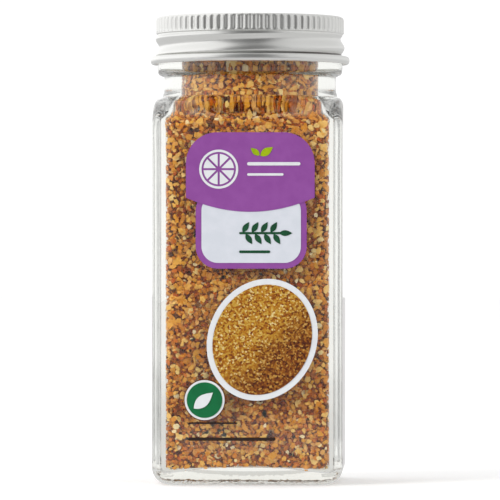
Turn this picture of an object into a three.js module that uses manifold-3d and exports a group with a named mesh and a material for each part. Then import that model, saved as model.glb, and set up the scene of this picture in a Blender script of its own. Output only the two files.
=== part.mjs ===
// A shut square spice jar of clear glass, filled with granulated dried orange peel.
// Millimetres, +Z up. The origin is the centre of the base, and the label faces -Y.
import * as THREE from 'three';
import { mergeVertices } from 'three/addons/utils/BufferGeometryUtils.js';
import Module from 'manifold-3d';

const wasm = await Module();
wasm.setup();

// Driving dimensions of the glass, from the outside in
const BODY_HALF = 21.6;
const BODY_CORNER = 5.5;
const HEEL_RADIUS = 4;
const HEEL_CORNER_SHARE = 0.6;
const NECK_RADIUS = 19.8;
const NECK_BASE_Z = 88;
const BEAD_RADIUS = 21.3;
const BEAD_Z = 93.2;
const BEAD_TOP_Z = 97;
const BEAD_ROUND = 0.9;
const LIP_Z = 105.9;
const LIP_ROUND = 0.5;
const CAVITY_HALF = 18.7;
const CAVITY_CORNER = 3;
const MOUTH_RADIUS = 15.8;
const MOUTH_BASE_Z = 86.9;
const PUSH_UP = 2;
const PUSH_UP_RADIUS = 8;
const BEARING_WIDTH = 3;
const BEARING_CORNER = 6;
const FLOOR_EDGE_Z = 3;
const FLOOR_DOME = 2.2;
const FLOOR_ROUND = 2.6;

// The shoulder turns in on quarters of ovals, which rise further at its four corners than on its sides
const SHOULDER_OUTSIDE = { sideRise: 3.4, cornerRise: 9, half: BODY_HALF, corner: BODY_CORNER,
  neck: NECK_RADIUS, top: NECK_BASE_Z };
const SHOULDER_INSIDE = { sideRise: 3.6, cornerRise: 6.6, half: CAVITY_HALF, corner: CAVITY_CORNER,
  neck: MOUTH_RADIUS, top: MOUTH_BASE_Z };

// Driving dimensions of the cap, a shell of rolled aluminium sheet
const CAP_TOP_Z = 106.7;
const CAP_RADIUS = 21.6;
const CAP_EDGE_RADIUS = 0.9;
const CAP_WALL = 0.5;
const CAP_BAND_BASE_Z = 102.9;
const CAP_SKIRT_RADIUS = 21.3;
const CAP_SKIRT_BASE_Z = 97.7;
const CURL_RADIUS = 22.9;
const CURL_Z = 96.7;
const CURL_THICKNESS = 0.9;
const THREAD_PITCH = 4.23;
const THREAD_DEPTH = 0.45;
const THREAD_CREST_Z = 101.7;
const KNURL_COUNT = 78;
const KNURL_RADIUS = 0.55;
const KNURL_DEPTH = 0.22;
const KNURL_HEIGHT = 2.9;

// The heap of granules stands this far inside the glass, and is as rough as its grains
const HEAP_GAP = 0.3;
const GRAIN_RELIEF = 0.7;
const HEAP_TOP_Z = 98.5;
const HEAP_TOP_ROUND = 1.2;
const HEAP_STEP = 2.6;
const HEAP_SEED = 20261;

// Driving dimensions of the label on the front face
const FILM = { left: -14.2, right: 16, bottom: 7.5, top: 80.4, corner: 2 };
const FILM_GAP = 0.05;
const FILM_THICKNESS = 0.1;
const INK_THICKNESS = 0.06;
const INK_GAP = 0.04;
const HEADER = { left: -13.6, right: 15.4, bottom: 65, top: 79.7, corner: 7 };
const HEADER_DROP = 3.2;
const PANEL = { left: -11.4, right: 13.6, bottom: 49, top: 67, corner: 5 };
const PANEL_BORDER = 1.3;
const DISH = { x: 3.6, z: 33, halfWidth: 12.2, halfHeight: 14, tilt: THREE.MathUtils.degToRad(-24) };
const DISH_RIM = 1.3;
const DISC = { x: -9.4, z: 19.4, radius: 4.5 };
const DISC_RIM = 0.5;

const GLASS_SEGMENTS = 48;
const CAP_SEGMENTS = 44;
const HEAP_SEGMENTS = 60;
const FIELD_SEGMENTS = 4;
const HEADER_SEGMENTS = 8;
const OVAL_SEGMENTS = 12;
const FLAT_SHARE = 1 / 3;
const ROOT2 = Math.SQRT2;

// A repeatable stream of numbers between 0 and 1
function seededRandom(seed) {
  let state = seed;
  return () => {
    state = (state * 1664525 + 1013904223) % 4294967296;
    return state / 4294967296;
  };
}

// Evenly spaced values from a to b, both included
function steps(a, b, count) {
  return Array.from({ length: count + 1 }, (_, i) => a + ((b - a) * i) / count);
}

// How far a quarter of an oval has turned in, at a height above its foot
function ovalInset(height, rise, drop) {
  const share = THREE.MathUtils.clamp(height / rise, 0, 1);
  return drop * (1 - Math.sqrt(1 - share * share));
}

// Distance from the axis to the corner of a square of this half-width and corner radius
function cornerReach(half, corner) {
  return half * ROOT2 - corner * (ROOT2 - 1);
}

// A point of a quarter of a rounded square, from the middle of one side to the middle of the next
function quarterPoint(half, corner, share) {
  const flat = half - corner;
  const arc = (corner * Math.PI) / 2;
  const evenly = share * (2 * flat + arc);
  const flatPart = share < FLAT_SHARE / 2 || share > 1 - FLAT_SHARE / 2;
  const arcShare = (share - FLAT_SHARE / 2) / (1 - FLAT_SHARE);
  const flatShare = share < 0.5 ? share / (FLAT_SHARE / 2) : 1 - (1 - share) / (FLAT_SHARE / 2);
  const packed = flatPart
    ? (share < 0.5 ? flatShare * flat : flat + arc + flatShare * flat)
    : flat + arcShare * arc;
  const squareness = flat / half;
  const length = THREE.MathUtils.lerp(evenly, packed, Math.min(1, squareness * 1.4));
  if (length <= flat) return new THREE.Vector2(half, length);
  if (length >= flat + arc) return new THREE.Vector2(2 * flat + arc - length, half);
  const angle = (length - flat) / corner;
  return new THREE.Vector2(flat + corner * Math.cos(angle), flat + corner * Math.sin(angle));
}

// A point of the whole rounded square, where turn runs from 0 to 1 round the axis
function squarePoint(half, corner, turn) {
  const quarters = turn * 4;
  const side = Math.min(3, Math.floor(quarters + 1e-9));
  const point = quarterPoint(half, corner, quarters - side);
  return point.rotateAround(new THREE.Vector2(), (side * Math.PI) / 2);
}

// A lathed skin whose rings are squared up: each ring is { half, corner, z }, and a ring
// of no width is a pole. shape may move a point of a ring once it is placed.
function squareLathe(rings, segments, shape = (point) => point) {
  const profile = rings.map((ring) => new THREE.Vector2(ring.half, ring.z));
  const geometry = new THREE.LatheGeometry(profile, segments);
  const position = geometry.getAttribute('position');
  for (let i = 0; i < segments; i += 1) {
    rings.forEach((ring, j) => {
      const flat = ring.half > 0 ? squarePoint(ring.half, ring.corner, i / segments) : new THREE.Vector2();
      const point = shape(new THREE.Vector3(flat.x, flat.y, ring.z), ring);
      position.setXYZ(i * rings.length + j, point.x, point.y, point.z);
      if (i === 0) position.setXYZ(segments * rings.length + j, point.x, point.y, point.z);
    });
  }
  return geometry;
}

function signedVolume(vertices, triangles) {
  const [a, b, c] = [new THREE.Vector3(), new THREE.Vector3(), new THREE.Vector3()];
  let volume = 0;
  for (let t = 0; t < triangles.length; t += 3) {
    a.fromArray(vertices, triangles[t] * 3);
    b.fromArray(vertices, triangles[t + 1] * 3);
    c.fromArray(vertices, triangles[t + 2] * 3);
    volume += a.dot(b.cross(c)) / 6;
  }
  return volume;
}

// A closed geometry as a solid, with its shared vertices merged and its faces turned outwards
function toSolid(geometry) {
  const bare = geometry.clone();
  bare.deleteAttribute('normal');
  bare.deleteAttribute('uv');
  const merged = mergeVertices(bare, 1e-4);
  const vertProperties = new Float32Array(merged.getAttribute('position').array);
  const corners = Array.from(merged.getIndex().array);
  const triVerts = [];
  for (let t = 0; t < corners.length; t += 3) {
    const [a, b, c] = corners.slice(t, t + 3);
    if (a !== b && b !== c && c !== a) triVerts.push(a, b, c);
  }
  if (signedVolume(vertProperties, triVerts) < 0) triVerts.reverse();
  const mesh = new wasm.Mesh({ numProp: 3, vertProperties, triVerts: new Uint32Array(triVerts) });
  return new wasm.Manifold(mesh);
}

function toGeometry(solid) {
  const mesh = solid.getMesh();
  const geometry = new THREE.BufferGeometry();
  geometry.setAttribute('position', new THREE.BufferAttribute(mesh.vertProperties, 3));
  geometry.setIndex(new THREE.BufferAttribute(mesh.triVerts, 1));
  geometry.computeVertexNormals();
  return geometry;
}

function namedMesh(name, geometry, look) {
  const mesh = new THREE.Mesh(geometry, new THREE.MeshStandardMaterial(look));
  mesh.name = name;
  return mesh;
}

// Rings of a shoulder from its square foot up to its round neck, drawn in by a gap
function shoulderRings(shoulder, count, gap = 0) {
  const { sideRise, cornerRise, half, corner, neck, top } = shoulder;
  const foot = cornerReach(half, corner);
  return steps(0, Math.PI / 2, count).map((angle) => {
    const z = top - cornerRise * (1 - Math.sin(angle));
    const side = half - ovalInset(z - top + sideRise, sideRise, half - neck);
    const reach = foot - ovalInset(z - top + cornerRise, cornerRise, foot - neck);
    const round = Math.min(side, (side * ROOT2 - reach) / (ROOT2 - 1));
    return { half: side - gap, corner: Math.max(round, CAVITY_CORNER) - gap, z: z - gap };
  });
}

// Height of the domed floor inside the jar, highest on the axis
function floorHeight(point) {
  const share = Math.hypot(point.x, point.y) / cornerReach(CAVITY_HALF, CAVITY_CORNER);
  return FLOOR_EDGE_Z + FLOOR_DOME * (1 - share * share);
}

function roundRing(radius, z) {
  return { half: radius, corner: radius, z };
}

// The jar: push-up and bearing ring, heel, body, shoulder, bead and finish, then down the inside
function jarGlass() {
  const bearing = BODY_HALF - HEEL_RADIUS;
  const underside = [
    roundRing(0, PUSH_UP),
    roundRing(PUSH_UP_RADIUS, PUSH_UP * 0.8),
    { half: bearing - BEARING_WIDTH, corner: BEARING_CORNER, z: 0 },
  ];
  const heel = steps(0, Math.PI / 2, 4).map((angle) => {
    const inset = HEEL_RADIUS * (1 - Math.sin(angle));
    const corner = BODY_CORNER - inset * HEEL_CORNER_SHARE;
    return { half: BODY_HALF - inset, corner, z: HEEL_RADIUS * (1 - Math.cos(angle)) };
  });
  const finish = [
    roundRing(NECK_RADIUS, BEAD_Z),
    roundRing(BEAD_RADIUS - BEAD_ROUND * 0.7, BEAD_Z + BEAD_ROUND * 0.2),
    roundRing(BEAD_RADIUS, BEAD_Z + BEAD_ROUND),
    roundRing(BEAD_RADIUS, BEAD_TOP_Z - BEAD_ROUND),
    roundRing(BEAD_RADIUS - BEAD_ROUND * 0.7, BEAD_TOP_Z - BEAD_ROUND * 0.2),
    roundRing(NECK_RADIUS, BEAD_TOP_Z),
    roundRing(NECK_RADIUS, LIP_Z - LIP_ROUND),
    roundRing(NECK_RADIUS - LIP_ROUND, LIP_Z),
    roundRing(MOUTH_RADIUS + LIP_ROUND, LIP_Z),
    roundRing(MOUTH_RADIUS, LIP_Z - LIP_ROUND),
  ];
  const inside = shoulderRings(SHOULDER_INSIDE, 6).reverse();
  const floorRing = (inset, rise) => ({
    half: CAVITY_HALF - inset * FLOOR_ROUND, corner: CAVITY_CORNER, z: rise * FLOOR_ROUND, onFloor: true,
  });
  const floor = [
    { half: CAVITY_HALF, corner: CAVITY_CORNER, z: FLOOR_EDGE_Z + FLOOR_ROUND },
    floorRing(0.2, 0.4),
    floorRing(0.7, 0),
    { ...roundRing(CAVITY_HALF / 2, 0), onFloor: true },
    { ...roundRing(0, 0), onFloor: true },
  ];
  const outside = [...underside, ...heel, ...shoulderRings(SHOULDER_OUTSIDE, 8), ...finish];
  const onFloor = (point, ring) => (ring.onFloor ? point.setZ(floorHeight(point) + ring.z) : point);
  return toGeometry(toSolid(squareLathe([...outside, ...inside, ...floor], GLASS_SEGMENTS, onFloor)));
}

// How far the rolled screw thread stands out of the skirt at a point
function threadWave(x, y, z) {
  const turn = Math.atan2(y, x) / (2 * Math.PI) - 0.5;
  const wave = Math.cos(2 * Math.PI * ((z - THREAD_CREST_Z) / THREAD_PITCH - turn));
  const below = THREE.MathUtils.smoothstep(z, CAP_SKIRT_BASE_Z, CAP_SKIRT_BASE_Z + 0.8);
  const above = 1 - THREE.MathUtils.smoothstep(z, CAP_BAND_BASE_Z - 1.1, CAP_BAND_BASE_Z - 0.2);
  return THREAD_DEPTH * wave * below * above;
}

// The rings of the cap: top panel, rounded edge, skirt and curl outside, then an even wall inside
function capRings() {
  const edge = steps(0, Math.PI / 2, 3).map((angle) => roundRing(
    CAP_RADIUS - CAP_EDGE_RADIUS * (1 - Math.sin(angle)),
    CAP_TOP_Z - CAP_EDGE_RADIUS * (1 - Math.cos(angle)),
  ));
  const heights = steps(CAP_BAND_BASE_Z - 0.2, CAP_SKIRT_BASE_Z, 6);
  const rolledRing = (radius) => (z) => ({ ...roundRing(radius, z), rolled: true });
  const curl = steps(Math.PI * 0.6, -Math.PI * 0.75, 4).map((angle) => roundRing(
    CURL_RADIUS - CURL_THICKNESS * (1 - Math.cos(angle)) * 0.7,
    CURL_Z + CURL_THICKNESS * Math.sin(angle),
  ));
  return [
    roundRing(0, CAP_TOP_Z),
    ...edge,
    roundRing(CAP_RADIUS, CAP_BAND_BASE_Z),
    ...heights.map(rolledRing(CAP_SKIRT_RADIUS)),
    ...curl,
    ...heights.map(rolledRing(CAP_SKIRT_RADIUS - CAP_WALL)).reverse(),
    roundRing(CAP_RADIUS - CAP_WALL, CAP_BAND_BASE_Z + 0.2),
    roundRing(CAP_RADIUS - CAP_WALL, CAP_TOP_Z - CAP_EDGE_RADIUS),
    roundRing(CAP_RADIUS - CAP_EDGE_RADIUS, CAP_TOP_Z - CAP_WALL),
    roundRing(0, CAP_TOP_Z - CAP_WALL),
  ];
}

// The upright grooves of the grip band, as one cutting solid
function knurlCutter() {
  const groove = new THREE.CylinderGeometry(KNURL_RADIUS, KNURL_RADIUS, KNURL_HEIGHT, 6);
  groove.rotateX(Math.PI / 2);
  const middle = (CAP_BAND_BASE_Z + CAP_TOP_Z - CAP_EDGE_RADIUS + KNURL_DEPTH) / 2;
  groove.translate(CAP_RADIUS - KNURL_DEPTH + KNURL_RADIUS, 0, middle);
  const angles = steps(0, 2 * Math.PI, KNURL_COUNT).slice(1);
  return wasm.Manifold.union(angles.map((angle) => toSolid(groove.clone().rotateZ(angle))));
}

// The cap: a thin shell with the screw thread rolled into its skirt and a knurled grip band
function screwCap() {
  const roll = (point, ring) => {
    if (!ring.rolled) return point;
    const scale = 1 + threadWave(point.x, point.y, point.z) / ring.half;
    return point.set(point.x * scale, point.y * scale, point.z);
  };
  const shell = toSolid(squareLathe(capRings(), CAP_SEGMENTS, roll));
  return toGeometry(shell.subtract(knurlCutter()));
}

// The rings of the heap: domed foot, body up to the shoulder, neck and levelled top
function heapRings() {
  const square = { half: CAVITY_HALF - HEAP_GAP, corner: CAVITY_CORNER - HEAP_GAP };
  const shoulder = shoulderRings(SHOULDER_INSIDE, 5, HEAP_GAP);
  const bodyBase = FLOOR_EDGE_Z + FLOOR_ROUND + HEAP_GAP;
  const bodySteps = Math.round((shoulder[0].z - bodyBase) / HEAP_STEP);
  const body = steps(bodyBase, shoulder[0].z, bodySteps).slice(0, -1).map((z) => ({ ...square, z }));
  const neck = MOUTH_RADIUS - HEAP_GAP;
  const neckTop = HEAP_TOP_Z - HEAP_TOP_ROUND;
  const neckSteps = Math.round((neckTop - MOUTH_BASE_Z) / HEAP_STEP);
  const collar = steps(MOUTH_BASE_Z, neckTop, neckSteps).slice(1).map((z) => roundRing(neck, z));
  const foot = [
    roundRing(0, HEAP_GAP),
    roundRing(CAVITY_HALF / 3, HEAP_GAP),
    roundRing(CAVITY_HALF * 0.65, HEAP_GAP),
    { ...square, half: square.half - FLOOR_ROUND * 0.75, z: HEAP_GAP },
    { ...square, half: square.half - FLOOR_ROUND * 0.25, z: HEAP_GAP + FLOOR_ROUND * 0.4 },
  ];
  const rough = [
    ...body,
    ...shoulder,
    ...collar,
    roundRing(neck - HEAP_TOP_ROUND, HEAP_TOP_Z - HEAP_TOP_ROUND / 6),
    roundRing(neck / 2, HEAP_TOP_Z),
  ];
  return [
    ...foot.map((ring) => ({ ...ring, onFloor: true })),
    ...rough.map((ring) => ({ ...ring, rough: true })),
    roundRing(0, HEAP_TOP_Z),
  ];
}

// The heap of dried peel: it fills the jar to its walls, and its skin is as rough as its grains
function peelHeap() {
  const random = seededRandom(HEAP_SEED);
  const roughen = (point, ring) => {
    if (ring.onFloor) return point.setZ(floorHeight(point) + ring.z);
    if (!ring.rough) return point;
    const inwards = 1 - (GRAIN_RELIEF * random()) / ring.half;
    return point.set(point.x * inwards, point.y * inwards, point.z - (GRAIN_RELIEF * random()) / 2);
  };
  return toGeometry(toSolid(squareLathe(heapRings(), HEAP_SEGMENTS, roughen)));
}

// An outline with rounded corners, drawn in by a margin
function roundedOutline({ left, right, bottom, top, corner }, margin = 0) {
  const [x0, x1, y0, y1] = [left + margin, right - margin, bottom + margin, top - margin];
  const radius = corner - margin;
  const shape = new THREE.Shape();
  shape.moveTo(x0 + radius, y0);
  shape.lineTo(x1 - radius, y0);
  shape.absarc(x1 - radius, y0 + radius, radius, -Math.PI / 2, 0);
  shape.lineTo(x1, y1 - radius);
  shape.absarc(x1 - radius, y1 - radius, radius, 0, Math.PI / 2);
  shape.lineTo(x0 + radius, y1);
  shape.absarc(x0 + radius, y1 - radius, radius, Math.PI / 2, Math.PI);
  shape.lineTo(x0, y0 + radius);
  shape.absarc(x0 + radius, y0 + radius, radius, Math.PI, Math.PI * 1.5);
  return shape;
}

// The header field: round shoulders above, and a lower edge that hangs down in a shallow arc
function headerOutline() {
  const { left, right, bottom, top, corner } = HEADER;
  const shape = new THREE.Shape();
  shape.moveTo(left, bottom);
  shape.quadraticCurveTo((left + right) / 2, bottom - 2 * HEADER_DROP, right, bottom);
  shape.lineTo(right, top - corner);
  shape.absarc(right - corner, top - corner, corner, 0, Math.PI / 2);
  shape.lineTo(left + corner, top);
  shape.absarc(left + corner, top - corner, corner, Math.PI / 2, Math.PI);
  return shape;
}

function ovalOutline({ x, z, halfWidth, halfHeight, tilt }, margin = 0) {
  const shape = new THREE.Shape();
  shape.absellipse(x, z, halfWidth - margin, halfHeight - margin, 0, 2 * Math.PI, false, tilt);
  return shape;
}

function discOutline({ x, z, radius }, margin = 0) {
  const shape = new THREE.Shape();
  shape.absarc(x, z, radius - margin, 0, 2 * Math.PI);
  return shape;
}

// A flat piece of the label, lifted off the front face of the glass by its height above it
function frontPlate(shape, height, thickness, curveSegments) {
  const geometry = new THREE.ExtrudeGeometry(shape, { depth: thickness, bevelEnabled: false, curveSegments });
  geometry.rotateX(Math.PI / 2);
  geometry.translate(0, -(BODY_HALF + height), 0);
  return toGeometry(toSolid(geometry));
}

const PURPLE_INK = { color: 0x9653a0, roughness: 0.4, metalness: 0 };
const PALE_INK = { color: 0xd9dde6, roughness: 0.4, metalness: 0 };
const WHITE_INK = { color: 0xf2f2f0, roughness: 0.4, metalness: 0 };
const GREEN_INK = { color: 0x067041, roughness: 0.4, metalness: 0 };
const GOLD_INK = { color: 0xb37f38, roughness: 0.5, metalness: 0 };
const CLEAR_FILM = { color: 0xf4f4f2, roughness: 0.15, metalness: 0, transparent: true, opacity: 0.2 };
const CLEAR_GLASS = { color: 0xdfe6df, roughness: 0.04, metalness: 0, transparent: true, opacity: 0.35 };
const ALUMINIUM = { color: 0xd8d7d2, roughness: 0.32, metalness: 1 };
const DRIED_PEEL = { color: 0xa97a40, roughness: 0.85, metalness: 0 };

// One coat of ink lies over another, each as a plate of its own
function inkMesh(name, outline, segments, coat, look) {
  const height = FILM_GAP + FILM_THICKNESS + INK_GAP + (coat - 1) * (INK_THICKNESS + INK_GAP);
  return namedMesh(name, frontPlate(outline, height, INK_THICKNESS, segments), look);
}

const jar = new THREE.Group();
jar.add(
  namedMesh('jar_glass', jarGlass(), CLEAR_GLASS),
  namedMesh('screw_cap', screwCap(), ALUMINIUM),
  namedMesh('peel_heap', peelHeap(), DRIED_PEEL),
);

const filmPlate = frontPlate(roundedOutline(FILM), FILM_GAP, FILM_THICKNESS, FIELD_SEGMENTS);
const label = new THREE.Group();
label.add(
  namedMesh('label_film', filmPlate, CLEAR_FILM),
  inkMesh('print_border', roundedOutline(PANEL), FIELD_SEGMENTS, 1, PURPLE_INK),
  inkMesh('print_panel', roundedOutline(PANEL, PANEL_BORDER), FIELD_SEGMENTS, 2, PALE_INK),
  inkMesh('print_header', headerOutline(), HEADER_SEGMENTS, 3, PURPLE_INK),
  inkMesh('print_dish', ovalOutline(DISH), OVAL_SEGMENTS, 1, WHITE_INK),
  inkMesh('print_dish_peel', ovalOutline(DISH, DISH_RIM), OVAL_SEGMENTS, 2, GOLD_INK),
  inkMesh('print_disc_rim', discOutline(DISC), OVAL_SEGMENTS, 1, WHITE_INK),
  inkMesh('print_disc', discOutline(DISC, DISC_RIM), OVAL_SEGMENTS, 2, GREEN_INK),
);
jar.add(label);

export default jar;
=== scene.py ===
"""Dresses a shut square spice jar: clear glass, rolled aluminium cap, loose dried peel and printed film.

Sizes are millimetres in the dataclass fields and metres in the meshes.
"""

import logging
import math
from collections.abc import Sequence
from dataclasses import dataclass, field
from enum import Enum

import bpy
import numpy as np
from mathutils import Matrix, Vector


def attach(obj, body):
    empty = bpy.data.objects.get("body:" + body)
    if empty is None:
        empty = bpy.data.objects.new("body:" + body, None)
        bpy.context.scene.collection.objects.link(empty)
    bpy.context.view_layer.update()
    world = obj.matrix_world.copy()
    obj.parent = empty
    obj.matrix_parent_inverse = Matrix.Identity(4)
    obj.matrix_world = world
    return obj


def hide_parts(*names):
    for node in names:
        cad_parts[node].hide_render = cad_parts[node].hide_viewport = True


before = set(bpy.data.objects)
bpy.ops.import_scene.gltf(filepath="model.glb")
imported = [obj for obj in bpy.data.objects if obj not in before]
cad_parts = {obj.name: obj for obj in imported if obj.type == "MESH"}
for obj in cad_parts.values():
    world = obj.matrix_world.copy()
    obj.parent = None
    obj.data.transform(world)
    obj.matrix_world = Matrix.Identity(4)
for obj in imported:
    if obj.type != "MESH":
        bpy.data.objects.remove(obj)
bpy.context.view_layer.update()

log = logging.getLogger("peel_jar")

MM = 0.001
FULL_TURN = 2 * math.pi
QUARTER_TURN = math.pi / 2
ROOT2 = math.sqrt(2)
MERGE_DISTANCE = 1e-6
BODY = "root"

Colour = tuple[float, float, float]
Stops = Sequence[tuple[float, Colour]]
Levels = Sequence[tuple[float, float]]
Outline = list[tuple[float, float]]
Socket = bpy.types.NodeSocket


def srgb(red: int, green: int, blue: int) -> Colour:
    """Turns a colour as seen on a screen, 0 to 255, into the linear values that shaders use.

    Args:
        red: Red channel.
        green: Green channel.
        blue: Blue channel.

    Returns:
        The linear colour.
    """
    def linear(value: int) -> float:
        """One channel's linear value."""
        share = value / 255
        return share / 12.92 if share <= 0.04045 else ((share + 0.055) / 1.055) ** 2.4

    return linear(red), linear(green), linear(blue)


def smooth_step(value: np.ndarray, low: float, high: float) -> np.ndarray:
    """Rises smoothly from 0 at low to 1 at high.

    Args:
        value: Where to read the step.
        low: Where it leaves 0.
        high: Where it reaches 1.

    Returns:
        The step at each value.
    """
    share = np.clip((value - low) / (high - low), 0, 1)
    return share * share * (3 - 2 * share)


def soft_max(first: np.ndarray, second: float, blend: np.ndarray) -> np.ndarray:
    """The larger of two values, with the corner between them filleted.

    Args:
        first: One value.
        second: The other value.
        blend: How wide the fillet is.

    Returns:
        The filleted maximum.
    """
    return (first + second + np.sqrt((first - second) ** 2 + blend**2)) / 2


def oval_inset(distance: np.ndarray, rise: float, drop: float) -> np.ndarray:
    """How far a quarter of an oval has turned in, at a height above its foot.

    Args:
        distance: Height above the foot of the oval.
        rise: Its whole height.
        drop: Its whole inset.

    Returns:
        The inset at each height.
    """
    share = np.clip(distance / rise, 0, 1)
    return drop * (1 - np.sqrt(1 - share**2))


def corner_reach(half: float, corner: float) -> float:
    """Distance from the axis to the corner of a rounded square.

    Args:
        half: Half the square's width.
        corner: Its corner radius.

    Returns:
        The distance.
    """
    return half * ROOT2 - corner * (ROOT2 - 1)


@dataclass(frozen=True)
class SquareRings:
    """Level rings of rounded squares, from which a squared-up skin is spun.

    Attributes:
        half: Half-width of each ring.
        corner: Corner radius of each ring, equal to half where the ring is round.
        height: Height of each ring.
    """

    half: np.ndarray
    corner: np.ndarray
    height: np.ndarray
    flat_share: float = 1 / 3
    full_square: float = 1.4

    @classmethod
    def joined(cls, parts: Sequence["SquareRings"]) -> "SquareRings":
        """Strings several stretches of rings together."""
        return cls(
            np.concatenate([part.half for part in parts]),
            np.concatenate([part.corner for part in parts]),
            np.concatenate([part.height for part in parts]),
        )

    @classmethod
    def round(cls, points: Sequence[tuple[float, float]]) -> "SquareRings":
        """Round rings from radius and height pairs."""
        radius, height = np.array(points, float).T
        return cls(radius, radius.copy(), height)

    def reversed(self) -> "SquareRings":
        """The same rings in the other order."""
        return SquareRings(self.half[::-1], self.corner[::-1], self.height[::-1])

    def profile(self) -> Outline:
        """Radius and height of each ring, as a line to spin."""
        return list(zip(self.half, self.height))

    def outline(self, ring: np.ndarray, turn: np.ndarray) -> np.ndarray:
        """Points round the rings.

        Args:
            ring: Index of the ring of each point.
            turn: How far round each point is, from 0 to 1, starting at the middle of the +X side.

        Returns:
            The points' x and y.
        """
        half = np.maximum(self.half[ring], 1e-9)
        corner = np.maximum(self.corner[ring], 1e-9)
        side = np.minimum(3, np.floor(turn * 4 + 1e-6))
        share = turn * 4 - side
        flat = half - corner
        arc = corner * QUARTER_TURN
        edge = self.flat_share / 2
        on_arc = flat + (share - edge) / (1 - self.flat_share) * arc
        far_flat = flat + arc + (1 - (1 - share) / edge) * flat
        packed = np.where(share < edge, share / edge * flat, np.where(share > 1 - edge, far_flat, on_arc))
        weight = np.minimum(1, flat / half * self.full_square)
        length = share * (2 * flat + arc) * (1 - weight) + packed * weight
        angle = np.clip((length - flat) / corner, 0, QUARTER_TURN)
        near, far = length <= flat, length >= flat + arc
        x = np.where(near, half, np.where(far, 2 * flat + arc - length, flat + corner * np.cos(angle)))
        y = np.where(near, length, np.where(far, half, flat + corner * np.sin(angle)))
        cos, sin = np.cos(side * QUARTER_TURN), np.sin(side * QUARTER_TURN)
        return np.stack([x * cos - y * sin, x * sin + y * cos], axis=1)


def edit(obj: bpy.types.Object, mode: str = "VERT") -> None:
    """Opens one piece in edit mode with all of it selected.

    Args:
        obj: The piece.
        mode: What is selected: VERT, EDGE or FACE.
    """
    bpy.ops.object.select_all(action="DESELECT")
    bpy.context.view_layer.objects.active = obj
    obj.select_set(True)
    bpy.ops.object.mode_set(mode="EDIT")
    bpy.ops.mesh.select_mode(type=mode)
    bpy.ops.mesh.select_all(action="SELECT")


def close_edit() -> None:
    """Merges doubles, turns faces outwards and leaves edit mode."""
    bpy.ops.mesh.select_all(action="SELECT")
    bpy.ops.mesh.remove_doubles(threshold=MERGE_DISTANCE)
    bpy.ops.mesh.normals_make_consistent(inside=False)
    bpy.ops.object.mode_set(mode="OBJECT")


def shade(obj: bpy.types.Object, angle: float = 40.0) -> None:
    """Shades a piece smooth, with edges sharper than an angle left crisp.

    Args:
        obj: The piece.
        angle: The angle in degrees.
    """
    bpy.ops.object.select_all(action="DESELECT")
    bpy.context.view_layer.objects.active = obj
    obj.select_set(True)
    bpy.ops.object.shade_smooth_by_angle(angle=math.radians(angle))


def line_object(name: str, points: Sequence[tuple[float, float, float]]) -> bpy.types.Object:
    """A bare line of vertices and edges, ready to spin.

    Args:
        name: Name of the piece.
        points: The line's points in metres.

    Returns:
        The new object.
    """
    mesh = bpy.data.meshes.new(name)
    edges = [(i, i + 1) for i in range(len(points) - 1)]
    mesh.from_pydata(points, edges, [])
    obj = bpy.data.objects.new(name, mesh)
    bpy.context.scene.collection.objects.link(obj)
    return obj


def spin_profile(name: str, profile: Sequence[tuple[float, float]], steps: int) -> bpy.types.Object:
    """Spins a line of radius and height pairs into a closed skin.

    Args:
        name: Name of the piece.
        profile: Radius and height of each point, in millimetres.
        steps: Number of steps in the full turn.

    Returns:
        The new object.
    """
    obj = line_object(name, [(radius * MM, 0.0, height * MM) for radius, height in profile])
    edit(obj)
    bpy.ops.mesh.spin(steps=steps, angle=FULL_TURN, center=(0, 0, 0), axis=(0, 0, 1))
    close_edit()
    return obj


def read_points(obj: bpy.types.Object) -> np.ndarray:
    """A mesh's points in millimetres, one row each."""
    points = np.empty(len(obj.data.vertices) * 3)
    obj.data.vertices.foreach_get("co", points)
    return points.reshape(-1, 3) / MM


def write_points(obj: bpy.types.Object, points: np.ndarray) -> None:
    """Puts points in millimetres back into a mesh."""
    obj.data.vertices.foreach_set("co", (points * MM).ravel())
    obj.data.update()


def steady_order(points: np.ndarray) -> np.ndarray:
    """The order of points by place, the same however the mesh numbers them."""
    return np.lexsort(np.round(points, 4).T)


def steady_mesh(obj: bpy.types.Object) -> tuple[np.ndarray, np.ndarray]:
    """A mesh numbered by place, because Blender's own numbers can differ from run to run.

    Args:
        obj: An object whose faces are convex.

    Returns:
        Its points in millimetres, and triangles that fan out from each face's first point.
    """
    points = read_points(obj)
    order = steady_order(points)
    rank = np.argsort(order)
    triangles = []
    for polygon in obj.data.polygons:
        ring = rank[list(polygon.vertices)].tolist()
        start = ring.index(min(ring))
        ring = ring[start:] + ring[:start]
        triangles += [(ring[0], a, b) for a, b in zip(ring[1:], ring[2:])]
    return points[order], np.array(sorted(triangles))


def spin_squared(name: str, rings: SquareRings, steps: int) -> bpy.types.Object:
    """Spins rings as a round skin, then squares each ring up to its own outline.

    Args:
        name: Name of the piece.
        rings: The rings, in order along the skin.
        steps: Number of steps in the full turn.

    Returns:
        The new object.
    """
    obj = spin_profile(name, rings.profile(), steps)
    points = read_points(obj)
    radius = np.hypot(points[:, 0], points[:, 1])
    gap = (radius[:, None] - rings.half) ** 2 + (points[:, 2:] - rings.height) ** 2
    ring = np.argmin(gap, axis=1)
    turn = (np.arctan2(points[:, 1], points[:, 0]) / FULL_TURN) % 1
    column = np.round(turn * steps) % steps
    on_axis = radius < 1e-6
    points[:, :2] = np.where(on_axis[:, None], 0, rings.outline(ring, column / steps))
    points[:, 2] = rings.height[ring]
    write_points(obj, points)
    return obj


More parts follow.
